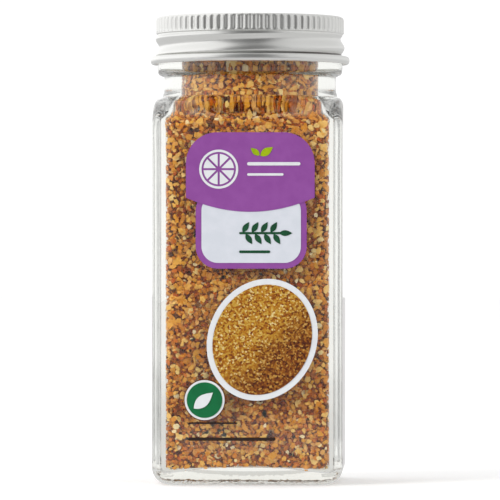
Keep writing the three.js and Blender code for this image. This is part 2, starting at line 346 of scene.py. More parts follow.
@dataclass(frozen=True)
class Wiring:
    """The node tree of a material or a world, with short calls to add and join its nodes."""

    material: bpy.types.Material | bpy.types.World

    @classmethod
    def start(cls, name: str) -> "Wiring":
        """A new material with only its output left in it.

        Args:
            name: Its name.

        Returns:
            Its node tree.
        """
        material = bpy.data.materials.new(name)
        material.use_nodes = True
        material.node_tree.nodes.clear()
        wiring = cls(material)
        wiring.add("ShaderNodeOutputMaterial", "out")
        return wiring

    def add(self, kind: str, name: str = "", **settings: object) -> bpy.types.Node:
        """Adds a node and sets its properties.

        Args:
            kind: Blender's name for the kind of node.
            name: Name to find it by.
            **settings: Properties of the node.

        Returns:
            The node.
        """
        node = self.material.node_tree.nodes.new(kind)
        node.name = name or node.name
        for key, value in settings.items():
            setattr(node, key, value)
        return node

    def join(self, source: Socket, target: Socket) -> None:
        """Links two sockets."""
        self.material.node_tree.links.new(source, target)

    def finish(self, shader: Socket) -> bpy.types.Material:
        """Links the shader to the output and hands the material over."""
        self.join(shader, self.material.node_tree.nodes["out"].inputs["Surface"])
        return self.material

    def feed(self, target: Socket, value: Socket | float) -> None:
        """Links a socket to another one, or sets it where the value is a plain number."""
        if isinstance(value, Socket):
            self.join(value, target)
        else:
            target.default_value = value

    def place(self) -> Socket:
        """The piece's own coordinates."""
        return self.add("ShaderNodeTexCoord").outputs["Object"]

    def axis(self, name: str, place: Socket | None = None) -> Socket:
        """One coordinate of a place, or of the piece's own coordinates where no place is given.

        Args:
            name: X, Y or Z.
            place: The place.

        Returns:
            The coordinate.
        """
        split = self.add("ShaderNodeSeparateXYZ")
        self.join(self.place() if place is None else place, split.inputs["Vector"])
        return split.outputs[name]

    def ray(self, kind: str) -> Socket:
        """Whether the ray that asks for the shader is of one kind, as 1 or 0."""
        return self.add("ShaderNodeLightPath").outputs[kind]

    def noise(self, scale: float, detail: float = 3.0, stretch: Sequence[float] = (1, 1, 1)) -> Socket:
        """Noise on the piece's own coordinates.

        Args:
            scale: Cells to the metre.
            detail: Levels of finer noise.
            stretch: Scale along each axis.

        Returns:
            The noise's value.
        """
        mapping = self.add("ShaderNodeMapping")
        mapping.inputs["Scale"].default_value = stretch
        self.join(self.place(), mapping.inputs["Vector"])
        noise = self.add("ShaderNodeTexNoise")
        noise.inputs["Scale"].default_value = scale
        noise.inputs["Detail"].default_value = detail
        self.join(mapping.outputs["Vector"], noise.inputs["Vector"])
        return noise.outputs["Fac"]

    def cells(self, scale: float) -> tuple[Socket, Socket]:
        """Cells on the piece's own coordinates: a random value in each, and the distance from its middle.

        Args:
            scale: Cells to the metre.

        Returns:
            The random value and the distance.
        """
        cells = self.add("ShaderNodeTexVoronoi", feature="F1")
        cells.inputs["Scale"].default_value = scale
        self.join(self.place(), cells.inputs["Vector"])
        pick = self.add("ShaderNodeSeparateColor")
        self.join(cells.outputs["Color"], pick.inputs["Color"])
        return pick.outputs["Red"], cells.outputs["Distance"]

    def ramp(self, source: Socket, stops: Stops) -> Socket:
        """Turns a value into a colour.

        Args:
            source: The value.
            stops: Place and colour of each stop.

        Returns:
            The colour.
        """
        node = self.add("ShaderNodeValToRGB")
        elements = node.color_ramp.elements
        while len(elements) < len(stops):
            elements.new(1.0)
        for element, (position, colour) in zip(elements, stops):
            element.position = position
            element.color = (*colour, 1)
        self.join(source, node.inputs["Fac"])
        return node.outputs["Color"]

    def span(self, source: Socket, low: float, high: float) -> Socket:
        """Maps 0 to 1 onto low to high.

        Args:
            source: The value.
            low: What 0 becomes.
            high: What 1 becomes.

        Returns:
            The new value.
        """
        node = self.add("ShaderNodeMapRange")
        node.inputs["To Min"].default_value = low
        node.inputs["To Max"].default_value = high
        self.join(source, node.inputs["Value"])
        return node.outputs["Result"]

    def between(self, source: Socket, low: float, high: float, **settings: object) -> Socket:
        """Maps low to high onto 0 to 1.

        Args:
            source: The value.
            low: What becomes 0.
            high: What becomes 1.
            **settings: Properties of the node.

        Returns:
            The new value.
        """
        node = self.add("ShaderNodeMapRange", **settings)
        node.inputs["From Min"].default_value = low
        node.inputs["From Max"].default_value = high
        self.join(source, node.inputs["Value"])
        return node.outputs["Result"]

    def rise(self, source: Socket, low: float, high: float) -> Socket:
        """Rises smoothly from 0 at low to 1 at high."""
        return self.between(source, low, high, interpolation_type="SMOOTHSTEP")

    def calc(self, operation: str, *values: Socket | float) -> Socket:
        """Works out one operation on sockets and plain numbers.

        Args:
            operation: Blender's name for it.
            *values: What it works on.

        Returns:
            The result.
        """
        node = self.add("ShaderNodeMath", operation=operation)
        for socket, value in zip(node.inputs, values):
            self.feed(socket, value)
        return node.outputs["Value"]

    def blend(self, share: Socket, first: Socket | float, second: Socket | float) -> Socket:
        """Goes from one value to another as the share goes from 0 to 1.

        Args:
            share: The share.
            first: The value at 0.
            second: The value at 1.

        Returns:
            The blend.
        """
        node = self.add("ShaderNodeMix")
        for name, value in (("Factor", share), ("A", first), ("B", second)):
            self.feed(node.inputs[name], value)
        return node.outputs["Result"]

    def mixed(self, share: Socket | float, first: Socket, second: Socket) -> Socket:
        """Goes from one shader to another as the share goes from 0 to 1.

        Args:
            share: The share.
            first: The shader at 0.
            second: The shader at 1.

        Returns:
            The mixed shader.
        """
        node = self.add("ShaderNodeMixShader")
        for socket, value in zip(node.inputs, (share, first, second)):
            self.feed(socket, value)
        return node.outputs["Shader"]

    def bump(self, height: Socket, strength: float, distance: float) -> Socket:
        """A bumped normal from a height.

        Args:
            height: The height.
            strength: How much of it shows.
            distance: Depth in metres.

        Returns:
            The normal.
        """
        node = self.add("ShaderNodeBump")
        node.inputs["Strength"].default_value = strength
        node.inputs["Distance"].default_value = distance
        self.join(height, node.inputs["Height"])
        return node.outputs["Normal"]

    def principled(self, **values: object) -> bpy.types.Node:
        """A Principled shader with its sockets set.

        Args:
            **values: Socket names with spaces as underscores, and their values.

        Returns:
            The shader node.
        """
        node = self.add("ShaderNodeBsdfPrincipled")
        for key, value in values.items():
            node.inputs[key.replace("_", " ")].default_value = value
        return node


@dataclass(frozen=True)
class ClearGlass:
    """Flint glass with a faint grey-green cast, slightly rippled, stippled round the heel."""

    tint: Colour = (0.968, 0.975, 0.935)
    index: float = 1.5
    ripple_scale: float = 90.0
    ripple_depth: float = 0.00004
    stipple_scale: float = 1500.0
    stipple_depth: float = 0.00012
    stipple_top: float = 3.0
    heel_tint: Colour = (0.9, 0.895, 0.835)
    heel_top: float = 4.5

    def material(self) -> bpy.types.Material:
        """Builds the material, which lets lamps through so that what is inside is lit."""
        wiring = Wiring.start("clear_glass")
        glass = wiring.principled(Roughness=0.0, IOR=self.index, Transmission_Weight=1.0)
        height = wiring.axis("Z")
        near_heel = wiring.between(height, self.stipple_top * MM, 0.0)
        thick = wiring.between(height, self.heel_top * MM, self.heel_top * MM / 2)
        wiring.join(wiring.ramp(thick, [(0.0, self.tint), (1.0, self.heel_tint)]), glass.inputs["Base Color"])
        dots = wiring.calc("MULTIPLY", wiring.noise(self.stipple_scale, 0.0), near_heel)
        ripple = wiring.bump(wiring.noise(self.ripple_scale, 1.0), 1.0, self.ripple_depth)
        stipple = wiring.bump(dots, 1.0, self.stipple_depth)
        wiring.join(ripple, stipple.node.inputs["Normal"])
        wiring.join(stipple, glass.inputs["Normal"])
        through = wiring.add("ShaderNodeBsdfTransparent")
        through.inputs["Color"].default_value = (*self.tint, 1)
        shadow = wiring.ray("Is Shadow Ray")
        return wiring.finish(wiring.mixed(shadow, glass.outputs["BSDF"], through.outputs["BSDF"]))


@dataclass(frozen=True)
class RolledAluminium:
    """Thin rolled sheet: satin lacquer, faint lines round the cap, and painted shade in a dark band at the
    skirt's foot where its thread ends.
    """

    colour: Colour = (0.8, 0.8, 0.78)
    # Colour of the painted shade at the skirt's foot, where the thread runs out.
    crease_shade: Colour = (0.16, 0.15, 0.145)
    crease_height: float = 97.85
    crease_width: float = 0.2
    crease_start: float = 0.0
    crease_full: float = 12.0
    smooth: float = 0.3
    rough: float = 0.4
    line_scale: float = 500.0
    line_stretch: tuple[float, float, float] = (0.3, 0.3, 6.0)
    line_strength: float = 0.6
    line_depth: float = 0.00001
    blotch_scale: float = 160.0

    def material(self) -> bpy.types.Material:
        """Builds the material."""
        wiring = Wiring.start("cap_aluminium")
        metal = wiring.principled(Metallic=1.0)
        # Painted shade: a dark band at the skirt's foot, growing toward +X where the thread runs out, stands
        # in for the shadow in the gap above the curl.
        in_crease = wiring.calc("COMPARE", wiring.axis("Z"), self.crease_height * MM, self.crease_width * MM)
        shade_toward_right = wiring.between(wiring.axis("X"), self.crease_start * MM, self.crease_full * MM)
        dark = wiring.calc("MULTIPLY", in_crease, shade_toward_right)
        wiring.join(wiring.ramp(dark, [(0.0, self.colour), (1.0, self.crease_shade)]), metal.inputs["Base Color"])
        blotches = wiring.noise(self.blotch_scale, 2.0)
        wiring.join(wiring.span(blotches, self.smooth, self.rough), metal.inputs["Roughness"])
        lines = wiring.noise(self.line_scale, 4.0, self.line_stretch)
        wiring.join(wiring.bump(lines, self.line_strength, self.line_depth), metal.inputs["Normal"])
        return wiring.finish(metal.outputs["BSDF"])


class Turn(Enum):
    """How the sides of a shoulder turn in: on a quarter of an oval, or eased at both ends."""

    OVAL = "oval"
    EASED = "eased"

    def inset(self, distance: np.ndarray, rise: float, drop: float) -> np.ndarray:
        """How far the shoulder has turned in.

        Args:
            distance: Height above its foot.
            rise: Its whole height.
            drop: Its whole inset.

        Returns:
            The inset at each height.
        """
        if self is Turn.OVAL:
            return oval_inset(distance, rise, drop)
        return drop * smooth_step(distance, 0, rise)


@dataclass(frozen=True)
class Shoulder:
    """One face of the wall where the square body turns into the round neck."""

    half: float
    corner: float
    neck: float
    top: float
    side_rise: float
    corner_rise: float
    curve: Turn = Turn.OVAL
    fillet: float = 0.7
    past: float = 1.6

    def rings(self, count: int, inset: float = 0.0) -> SquareRings:
        """Rings from the square foot up to the round neck.

        Args:
            count: Number of rings on the shoulder itself.
            inset: How far inside the face the rings lie.

        Returns:
            The rings.
        """
        foot = corner_reach(self.half, self.corner)
        swing = np.linspace(0, QUARTER_TURN, count)
        height = self.top - self.corner_rise * (1 - np.sin(swing))
        height = np.append(height, self.top + np.linspace(0.2, self.past, 6))
        blend = self.fillet * (1 - smooth_step(height, self.top, self.top + self.past))
        side = self.curve.inset(height - self.top + self.side_rise, self.side_rise, self.half - self.neck)
        turn = oval_inset(height - self.top + self.corner_rise, self.corner_rise, foot - self.neck)
        width = soft_max(self.half - side, self.neck, blend)
        reach = soft_max(foot - turn, self.neck, blend)
        round_part = np.clip((width * ROOT2 - reach) / (ROOT2 - 1), self.corner, width)
        return SquareRings(width - inset, round_part - inset, height - inset)


@dataclass(frozen=True)
class GlassJar:
    """The square jar: push-up base, heel, straight body, shoulder, neck, bead and finish, with its cavity."""

    half: float = 21.6
    corner: float = 5.5
    heel: float = 4.0
    heel_corner_share: float = 0.6
    push_up: float = 2.0
    bearing_width: float = 3.0
    shoulder_top: float = 88.3
    shoulder_side_rise: float = 2.7
    shoulder_corner_rise: float = 9.0
    neck: float = 19.8
    bead: float = 21.3
    bead_foot: float = 93.2
    bead_top: float = 97.0
    lip: float = 105.9
    lip_round: float = 0.9
    cavity_half: float = 18.7
    cavity_corner: float = 3.0
    inside_top: float = 87.2
    inside_side_rise: float = 5.4
    inside_corner_rise: float = 6.0
    inside_fillet: float = 0.2
    mouth: float = 15.8
    floor_edge: float = 3.0
    floor_dome: float = 2.2
    floor_round: float = 1.2
    body_top: float = 72.0
    mouth_foot: float = 91.0
    steps: int = 144

    @property
    def outer_shoulder(self) -> Shoulder:
        """The shoulder's outer face."""
        rises = self.shoulder_side_rise, self.shoulder_corner_rise
        return Shoulder(self.half, self.corner, self.neck, self.shoulder_top, *rises)

    @property
    def inner_shoulder(self) -> Shoulder:
        """The shoulder's inner face."""
        rises = self.inside_side_rise, self.inside_corner_rise
        sizes = self.cavity_half, self.cavity_corner, self.mouth, self.inside_top
        return Shoulder(*sizes, *rises, Turn.EASED, self.inside_fillet)

    def floor_height(self, points: np.ndarray) -> np.ndarray:
        """Height of the cavity's domed floor under each point."""
        share = np.hypot(points[:, 0], points[:, 1]) / corner_reach(self.cavity_half, self.cavity_corner)
        return self.floor_edge + self.floor_dome * (1 - share**2)

    def outside(self) -> SquareRings:
        """Rings of the outside, from the middle of the base up to the lip."""
        bearing = self.half - self.heel
        base = SquareRings(
            np.array([0, 3, 6, 9, 11.5, bearing - self.bearing_width, bearing - self.bearing_width + 0.4]),
            np.array([0, 3, 6, 8, 8, 6, 5.6]),
            np.array([1, 0.97, 0.86, 0.62, 0.3, 0.05, 0]) * self.push_up,
        )
        swing = np.linspace(0, QUARTER_TURN, 12)
        inset = self.heel * (1 - np.sin(swing))
        heel = SquareRings(
            self.half - inset, self.corner - inset * self.heel_corner_share, self.heel * (1 - np.cos(swing))
        )
        levels = np.linspace(self.heel + 6, self.body_top, 8)
        body = SquareRings(np.full(8, self.half), np.full(8, self.corner), levels)
        swing = np.linspace(-QUARTER_TURN, QUARTER_TURN, 15)[1:-1]
        belly = (self.bead_top - self.bead_foot) / 2
        bulge = np.sign(np.cos(swing)) * np.abs(np.cos(swing)) ** 0.5
        rise = np.sign(np.sin(swing)) * np.abs(np.sin(swing)) ** 0.8
        bead = SquareRings.round(list(zip(
            self.neck + (self.bead - self.neck) * bulge, (self.bead_foot + self.bead_top) / 2 + belly * rise
        )))
        swing = np.linspace(0, QUARTER_TURN, 6)
        finish = SquareRings.round([
            (self.neck, self.bead_top + 0.6),
            *zip(
                self.neck - self.lip_round * (1 - np.cos(swing)),
                self.lip - self.lip_round * (1 - np.sin(swing)),
            ),
        ])
        neck = SquareRings.round([(self.neck, self.shoulder_top + 3), (self.neck, self.bead_foot - 0.3)])
        return SquareRings.joined([base, heel, body, self.outer_shoulder.rings(22), neck, bead, finish])

    def inside(self) -> SquareRings:
        """Rings of the cavity, from the lip down to the middle of its floor, whose dome is added later."""
        swing = np.linspace(0, QUARTER_TURN, 6)
        mouth = SquareRings.round([
            *zip(
                self.mouth + self.lip_round * (1 - np.sin(swing)),
                self.lip - self.lip_round * (1 - np.cos(swing)),
            ),
            (self.mouth, self.bead_top),
            (self.mouth, self.mouth_foot),
        ])
        shoulder = self.inner_shoulder.rings(22).reversed()
        levels = np.linspace(self.body_top, self.floor_edge + 4, 9)
        body = SquareRings(np.full(9, self.cavity_half), np.full(9, self.cavity_corner), levels)
        swing = np.linspace(0, QUARTER_TURN, 9)
        inset = self.floor_round * (1 - np.cos(swing))
        foot = SquareRings(
            self.cavity_half - inset,
            self.cavity_corner - inset * 0.3,
            self.floor_edge + self.floor_round * (1 - np.sin(swing)),
        )
        floor = SquareRings(
            np.array([16.0, 14.5, 12.0, 9.0, 6.0, 3.0, 0.0]),
            np.array([3.2, 4.0, 6.0, 7.0, 6.0, 3.0, 0.0]),
            self.floor_edge - 0.01 * np.arange(1, 8),
        )
        return SquareRings.joined([mouth, shoulder, body, foot, floor])

    def build(self) -> bpy.types.Object:
        """Spins and squares up the glass, then domes the cavity's floor."""
        rings = SquareRings.joined([self.outside(), self.inside()])
        obj = spin_squared("glass_jar", rings, self.steps)
        points = read_points(obj)
        lowest = self.floor_edge + self.floor_round + 0.1
        across = np.maximum(abs(points[:, 0]), abs(points[:, 1]))
        radius = np.hypot(points[:, 0], points[:, 1])
        in_cavity = (across < self.cavity_half + 0.01) & (points[:, 2] < lowest)
        in_cavity &= points[:, 2] > self.push_up + 0.5
        near_floor = 1 - smooth_step(points[:, 2], self.floor_edge, lowest)
        dome = self.floor_dome * (1 - (radius / corner_reach(self.cavity_half, self.cavity_corner)) ** 2)
        points[:, 2] += np.where(in_cavity, dome * near_floor, 0)
        write_points(obj, points)
        shade(obj, 60)
        return obj

    def dress(self, obj: bpy.types.Object) -> None:
        """Gives the glass its material and its place in the frame.

        Args:
            obj: The glass.
        """
        obj.data.materials.append(ClearGlass().material())
        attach(obj, BODY)
        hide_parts("jar_glass")


@dataclass(frozen=True)
class ScrewCap:
    """The screw cap: a shell of thin sheet with a knurled band, a rolled thread and a curl."""

    top: float = 106.7
    radius: float = 21.6
    edge: float = 0.9
    wall: float = 0.3
    panel_radius: float = 19.4
    panel_drop: float = 0.12
    band_foot: float = 102.8
    skirt: float = 21.3
    skirt_foot: float = 97.7
    curl: float = 22.9
    curl_height: float = 96.7
    curl_thickness: float = 0.9
    pitch: float = 4.23
    thread: float = 0.45
    thread_crest: float = 101.7
    thread_start: float = 0.35
    thread_end: tuple[float, float] = (1.1, 0.2)
    knurls: int = 78
    knurl_depth: float = 0.3
    knurl_end: float = 0.35
    knurl_top: float = 0.3
    knurl_sides: tuple[float, float] = (-0.3, 0.6)
    steps_per_knurl: int = 8

    def profile(self) -> Outline:
        """The shell's line from the middle of the top, down the outside and back up the inside."""
        swing = np.linspace(0, QUARTER_TURN, 7)
        edge = list(zip(
            self.radius - self.edge * (1 - np.sin(swing)),
            self.top - self.edge * (1 - np.cos(swing)),
        ))
        panel = [
            (0.0, self.top - self.panel_drop),
            (7.0, self.top - self.panel_drop),
            (14.0, self.top - self.panel_drop),
            (self.panel_radius - 0.3, self.top - self.panel_drop),
            (self.panel_radius, self.top - self.panel_drop / 2),
            (self.panel_radius + 0.3, self.top),
        ]
        band_levels = np.linspace(self.top - self.edge - 0.15, self.band_foot + 0.1, 15)
        band = [(self.radius, height) for height in band_levels]
        skirt = [(self.skirt, height) for height in np.linspace(self.band_foot - 0.15, self.skirt_foot, 34)]
        swing = np.linspace(0.62 * math.pi, -0.9 * math.pi, 14)
        curl = [
            (self.curl - self.curl_thickness * (1 - math.cos(angle)) * 0.62,
             self.curl_height + self.curl_thickness * math.sin(angle))
            for angle in swing
        ]
        inner = self.skirt - self.wall
        lining = [(inner, height) for height in np.linspace(self.skirt_foot, self.band_foot, 16)]
        roof = [
            (self.radius - self.wall, self.band_foot + 0.3),
            (self.radius - self.wall, self.top - self.edge),
            (self.radius - self.edge, self.top - self.panel_drop - self.wall),
            (10.0, self.top - self.panel_drop - self.wall),
            (0.0, self.top - self.panel_drop - self.wall),
        ]
        return [*panel, *edge, *band, *skirt, *curl, *lining, *roof]

    def build(self) -> bpy.types.Object:
        """Spins the shell, rolls the thread into its skirt and presses the knurls into its band."""
        obj = spin_profile("rolled_cap", self.profile(), self.knurls * self.steps_per_knurl)
        points = read_points(obj)
        x, y, height = points.T
        radius = np.hypot(x, y)
        turn = np.arctan2(y, x) / FULL_TURN - 0.5
        wave = np.cos(FULL_TURN * ((height - self.thread_crest) / self.pitch - turn))
        rising = smooth_step(height, self.skirt_foot, self.skirt_foot + self.thread_start)
        fade, end = self.thread_end
        falling = 1 - smooth_step(height, self.band_foot - fade, self.band_foot - end)
        on_skirt = (radius > self.skirt - self.wall - 0.05) & (radius < self.skirt + 0.05)
        roll = np.where(on_skirt, self.thread * wave * rising * falling, 0)
        beat = np.cos(turn * FULL_TURN * self.knurls)
        groove = smooth_step(beat, *self.knurl_sides)
        low, high = self.band_foot + 0.15, self.top - self.knurl_top
        bowl = self.knurl_end * (1 - groove)
        window = smooth_step(height, low + bowl, low + bowl + self.knurl_end)
        window = window * (1 - smooth_step(height, high - bowl - self.knurl_end, high - bowl))
        on_band = (radius > self.radius - self.edge) & (height > self.band_foot) & (height < high)
        press = np.where(on_band, self.knurl_depth * groove * window, 0)
        scale = 1 + np.where(radius > 1e-6, (roll - press) / np.maximum(radius, 1e-6), 0)
        points[:, 0] *= scale
        points[:, 1] *= scale
        write_points(obj, points)
        shade(obj, 50)
        return obj

    def dress(self, obj: bpy.types.Object) -> None:
        """Gives the cap its material and its place in the frame.

        Args:
            obj: The cap.
        """
        obj.data.materials.append(RolledAluminium().material())
        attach(obj, BODY)
        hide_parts("screw_cap")


class Form(Enum):
    """The forms that broken peel takes."""

    CHUNK = "chunk"
    CHIP = "chip"
    SHRED = "shred"


@dataclass(frozen=True)
class Kind:
    """One kind of bit: how much of the heap it is, its sizes, form, thickness and shades."""

    share: float
    size: tuple[float, float]
    form: Form
    flatness: float
    shades: tuple[Colour, ...]


class Grain(Enum):
    """The kinds of bit in the heap, by the name of their piece."""

    GOLD = "peel_gold"
    AMBER = "peel_amber"
    TAN = "peel_tan"
    FLAKE = "peel_flake"
    SHRED = "peel_shred"
    RIND = "peel_rind"
    PITH = "peel_pith"
    CHAR = "peel_char"


KINDS: dict[Grain, Kind] = {
    Grain.GOLD: Kind(0.22, (0.8, 2.0), Form.CHUNK, 0.55, (
        srgb(178, 97, 8), srgb(210, 132, 24), srgb(227, 162, 56), srgb(236, 183, 97))),
    Grain.AMBER: Kind(0.18, (0.7, 1.8), Form.CHUNK, 0.6, (
        srgb(152, 68, 4), srgb(190, 99, 11), srgb(212, 125, 27), srgb(225, 148, 55))),
    Grain.TAN: Kind(0.17, (0.7, 2.0), Form.CHIP, 0.8, (
        srgb(165, 87, 18), srgb(199, 120, 36), srgb(219, 150, 68), srgb(230, 174, 105))),
    Grain.FLAKE: Kind(0.15, (1.0, 2.7), Form.CHIP, 0.6, (
        srgb(201, 124, 24), srgb(226, 155, 48), srgb(238, 183, 89), srgb(243, 203, 131))),
    Grain.SHRED: Kind(0.09, (1.2, 3.0), Form.SHRED, 1.0, (
        srgb(189, 111, 27), srgb(216, 141, 47), srgb(232, 167, 78), srgb(239, 189, 113))),
    Grain.RIND: Kind(0.09, (0.7, 1.8), Form.CHUNK, 0.6, (
        srgb(144, 58, 3), srgb(179, 81, 8), srgb(199, 103, 23), srgb(211, 123, 43))),
    Grain.PITH: Kind(0.07, (0.8, 2.1), Form.CHIP, 0.9, (
        srgb(218, 162, 73), srgb(233, 189, 105), srgb(242, 211, 147), srgb(246, 226, 190))),
    Grain.CHAR: Kind(0.03, (0.7, 1.6), Form.CHUNK, 0.65, (
        srgb(69, 33, 5), srgb(92, 46, 11), srgb(113, 64, 25), srgb(128, 82, 43))),
}


@dataclass(frozen=True)
class GrainFinish:
    """Dry broken peel: matt, finely pitted, each bit a shade of its own."""

    name: str
    shades: tuple[Colour, ...]
    mottle: float = 0.5
    roughness: float = 0.62
    gloss: float = 0.15
    pit_scale: float = 2600.0
    pit_strength: float = 0.7
    pit_depth: float = 0.00008

    def material(self) -> bpy.types.Material:
        """Builds the material from each bit's own shade value."""
        wiring = Wiring.start(self.name)
        own = wiring.add("ShaderNodeAttribute", attribute_name="shade").outputs["Fac"]
        middle = wiring.calc("SUBTRACT", own, self.mottle / 2)
        value = wiring.calc("MULTIPLY_ADD", wiring.noise(self.pit_scale / 2, 3.0), self.mottle, middle)
        stops = [(i / (len(self.shades) - 1), colour) for i, colour in enumerate(self.shades)]
        bit = wiring.principled(Roughness=self.roughness, Specular_IOR_Level=self.gloss)
        wiring.join(wiring.ramp(value, stops), bit.inputs["Base Color"])
        pits = wiring.bump(wiring.noise(self.pit_scale, 2.0), self.pit_strength, self.pit_depth)
        wiring.join(pits, bit.inputs["Normal"])
        return wiring.finish(bit.outputs["BSDF"])


@dataclass(frozen=True)
class CoreFinish:
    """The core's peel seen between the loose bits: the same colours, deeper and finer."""

    cell_scale: float = 900.0
    cell_depth: float = 0.0004
    roughness: float = 0.7
    gloss: float = 0.1
    shades: Stops = (
        (0.0, srgb(137, 54, 3)),
        (0.35, srgb(175, 84, 6)),
        (0.7, srgb(199, 106, 14)),
        (0.92, srgb(217, 131, 33)),
        (1.0, srgb(229, 160, 67)),
    )

    def material(self) -> bpy.types.Material:
        """Builds the material."""
        wiring = Wiring.start("peel_core")
        value, distance = wiring.cells(self.cell_scale)
        core = wiring.principled(Roughness=self.roughness, Specular_IOR_Level=self.gloss)
        wiring.join(wiring.ramp(value, self.shades), core.inputs["Base Color"])
        wiring.join(wiring.bump(distance, 1.0, self.cell_depth), core.inputs["Normal"])
        return wiring.finish(core.outputs["BSDF"])


@dataclass(frozen=True)
class Patch:
    """Where loose bits go: places on the core's skin with the way out of it."""

    spots: np.ndarray
    normals: np.ndarray


@dataclass
class PeelHeap:
    """The granulated peel: a rough packed core, and loose bits of eight kinds pressed against the glass."""

    jar: GlassJar
    core_inset: float = 1.25
    core_relief: float = 0.5
    core_jitter: float = 0.22
    core_step: float = 0.95
    core_columns: int = 144
    floor_level: float = 3.5
    floor_fade: tuple[float, float] = (4.5, 7.9)
    foot_levels: tuple[float, float] = (3.7, 7.4)
    body_foot: float = 8.0
    collar_foot: float = 2.0
    collar_height: float = 11.0
    lid_edge: float = 0.8
    near_tries: int = 90000
    near_depth: float = 0.25
    deep_tries: int = 50000
    deep_depth: float = 0.95
    top: float = 98.4
    spacing: float = 0.84
    deep_spacing: float = 0.9
    tilt: float = 0.36
    side_tilt: float = 0.6
    size_spread: tuple[float, float] = (1.6, 2.8)
    shapes: int = 12
    bit_thickness: float = 0.24
    bit_jitter: float = 0.13
    bit_width: tuple[float, float] = (0.55, 0.95)
    shred_width: tuple[float, float] = (0.22, 0.4)
    curl: float = 1.1
    bend: float = 0.5
    neck_blend: float = 8.0
    corner_slope: float = 1.2
    side_slope: float = 0.5
    press: float = 0.22
    wall_gap: float = 0.04
    gap_spread: float = 0.08
    seed: int = 614
    random: np.random.Generator = field(init=False)

    def __post_init__(self) -> None:
        """Starts the heap's own stream of random numbers."""
        self.random = np.random.default_rng(self.seed)

    def rings(self, inset: float, step: float) -> SquareRings:
        """Rings of a skin a little inside the cavity.

        Args:
            inset: How far inside.
            step: Greatest distance between rings.

        Returns:
            The rings, from the middle of the floor to the middle of the top.
        """
        jar = self.jar
        half, corner = jar.cavity_half - inset, max(jar.cavity_corner - inset, 1.2)
        shoulder = jar.inner_shoulder.rings(18, inset)
        shoulder = SquareRings(shoulder.half, np.maximum(shoulder.corner, corner), shoulder.height)
        count = int((shoulder.height[0] - self.body_foot) / step)
        levels = np.linspace(self.body_foot, shoulder.height[0] - step, count)
        floor_count = int(half / step)
        spread = np.linspace(0, half - 0.8, floor_count)
        floor_corner = np.minimum(spread, np.maximum(corner, spread * 0.55))
        floor = SquareRings(spread, floor_corner, self.floor_level + 0.001 * np.arange(floor_count))
        foot_levels = np.linspace(*self.foot_levels, 5)
        foot = SquareRings(np.array([half - 0.3, half, half, half, half]), np.full(5, corner), foot_levels)
        body = SquareRings(np.full(count, half), np.full(count, corner), levels)
        neck = jar.mouth - inset
        collar_count = int(self.collar_height / step)
        collar_levels = np.linspace(jar.inside_top + self.collar_foot, self.top - self.lid_edge, collar_count)
        collar = SquareRings.round([(neck, level) for level in collar_levels])
        lid_radii = np.linspace(neck - self.lid_edge, 0, int(neck / step))
        lid = SquareRings.round([(radius, self.top) for radius in lid_radii])
        return SquareRings.joined([floor, foot, body, shoulder, collar, lid])

    def settle(self, points: np.ndarray, gap: np.ndarray) -> np.ndarray:
        """Keeps points inside the cavity: off its walls, its shoulder and its floor.

        Args:
            points: Points in millimetres.
            gap: Least distance of each point to the walls.

        Returns:
            The points, moved in where they would have touched the glass.
        """
        jar = self.jar
        wall = jar.inner_shoulder.rings(40)
        order = np.argsort(wall.height)
        height = points[:, 2]
        half = np.interp(height, wall.height[order], wall.half[order], jar.cavity_half, jar.mouth) - gap
        dip = np.clip(jar.floor_edge + jar.floor_round - height, 0, jar.floor_round)
        half -= jar.floor_round - np.sqrt(jar.floor_round**2 - dip**2)
        corner = np.interp(height, wall.height[order], wall.corner[order], jar.cavity_corner, jar.mouth)
        corner = np.clip(corner - gap, 0.5, half)
        straight = half - corner
        over = np.abs(points[:, :2]) - straight[:, None]
        outer = np.maximum(over, 0)
        reach = np.hypot(outer[:, 0], outer[:, 1])
        shrink = np.minimum(1, corner / np.maximum(reach, 1e-9))
        in_corner = (over > 0).all(axis=1)
        plain = np.minimum(np.abs(points[:, :2]), half[:, None])
        rounded = straight[:, None] + outer * shrink[:, None]
        settled = points.copy()
        settled[:, :2] = np.sign(points[:, :2]) * np.where(in_corner[:, None], rounded, plain)
        floor = jar.floor_height(settled) + gap
        settled[:, 2] = np.maximum(height, floor)
        return settled

    def core(self) -> bpy.types.Object:
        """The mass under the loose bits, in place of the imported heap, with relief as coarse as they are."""
        obj = spin_squared("peel_core", self.rings(self.core_inset, self.core_step), self.core_columns)
        points = read_points(obj)
        lift = self.jar.floor_height(points) - self.jar.floor_edge
        points[:, 2] += lift * (1 - smooth_step(points[:, 2], *self.floor_fade))
        write_points(obj, points)
        edit(obj)
        bpy.ops.mesh.subdivide(number_cuts=1)
        close_edit()
        points = read_points(obj)
        outwards = points * np.array([1, 1, 0])
        outwards /= np.maximum(np.linalg.norm(outwards, axis=1), 1e-6)[:, None]
        order = steady_order(points)
        jitter, lumps = np.empty_like(points), np.empty(len(points))
        jitter[order] = self.random.uniform(-1, 1, (len(points), 3)) * self.core_jitter
        lumps[order] = self.random.uniform(-1, 1, len(points)) * self.core_relief
        write_points(obj, points + jitter + outwards * lumps[:, None])
        shade(obj, 25)
        return obj

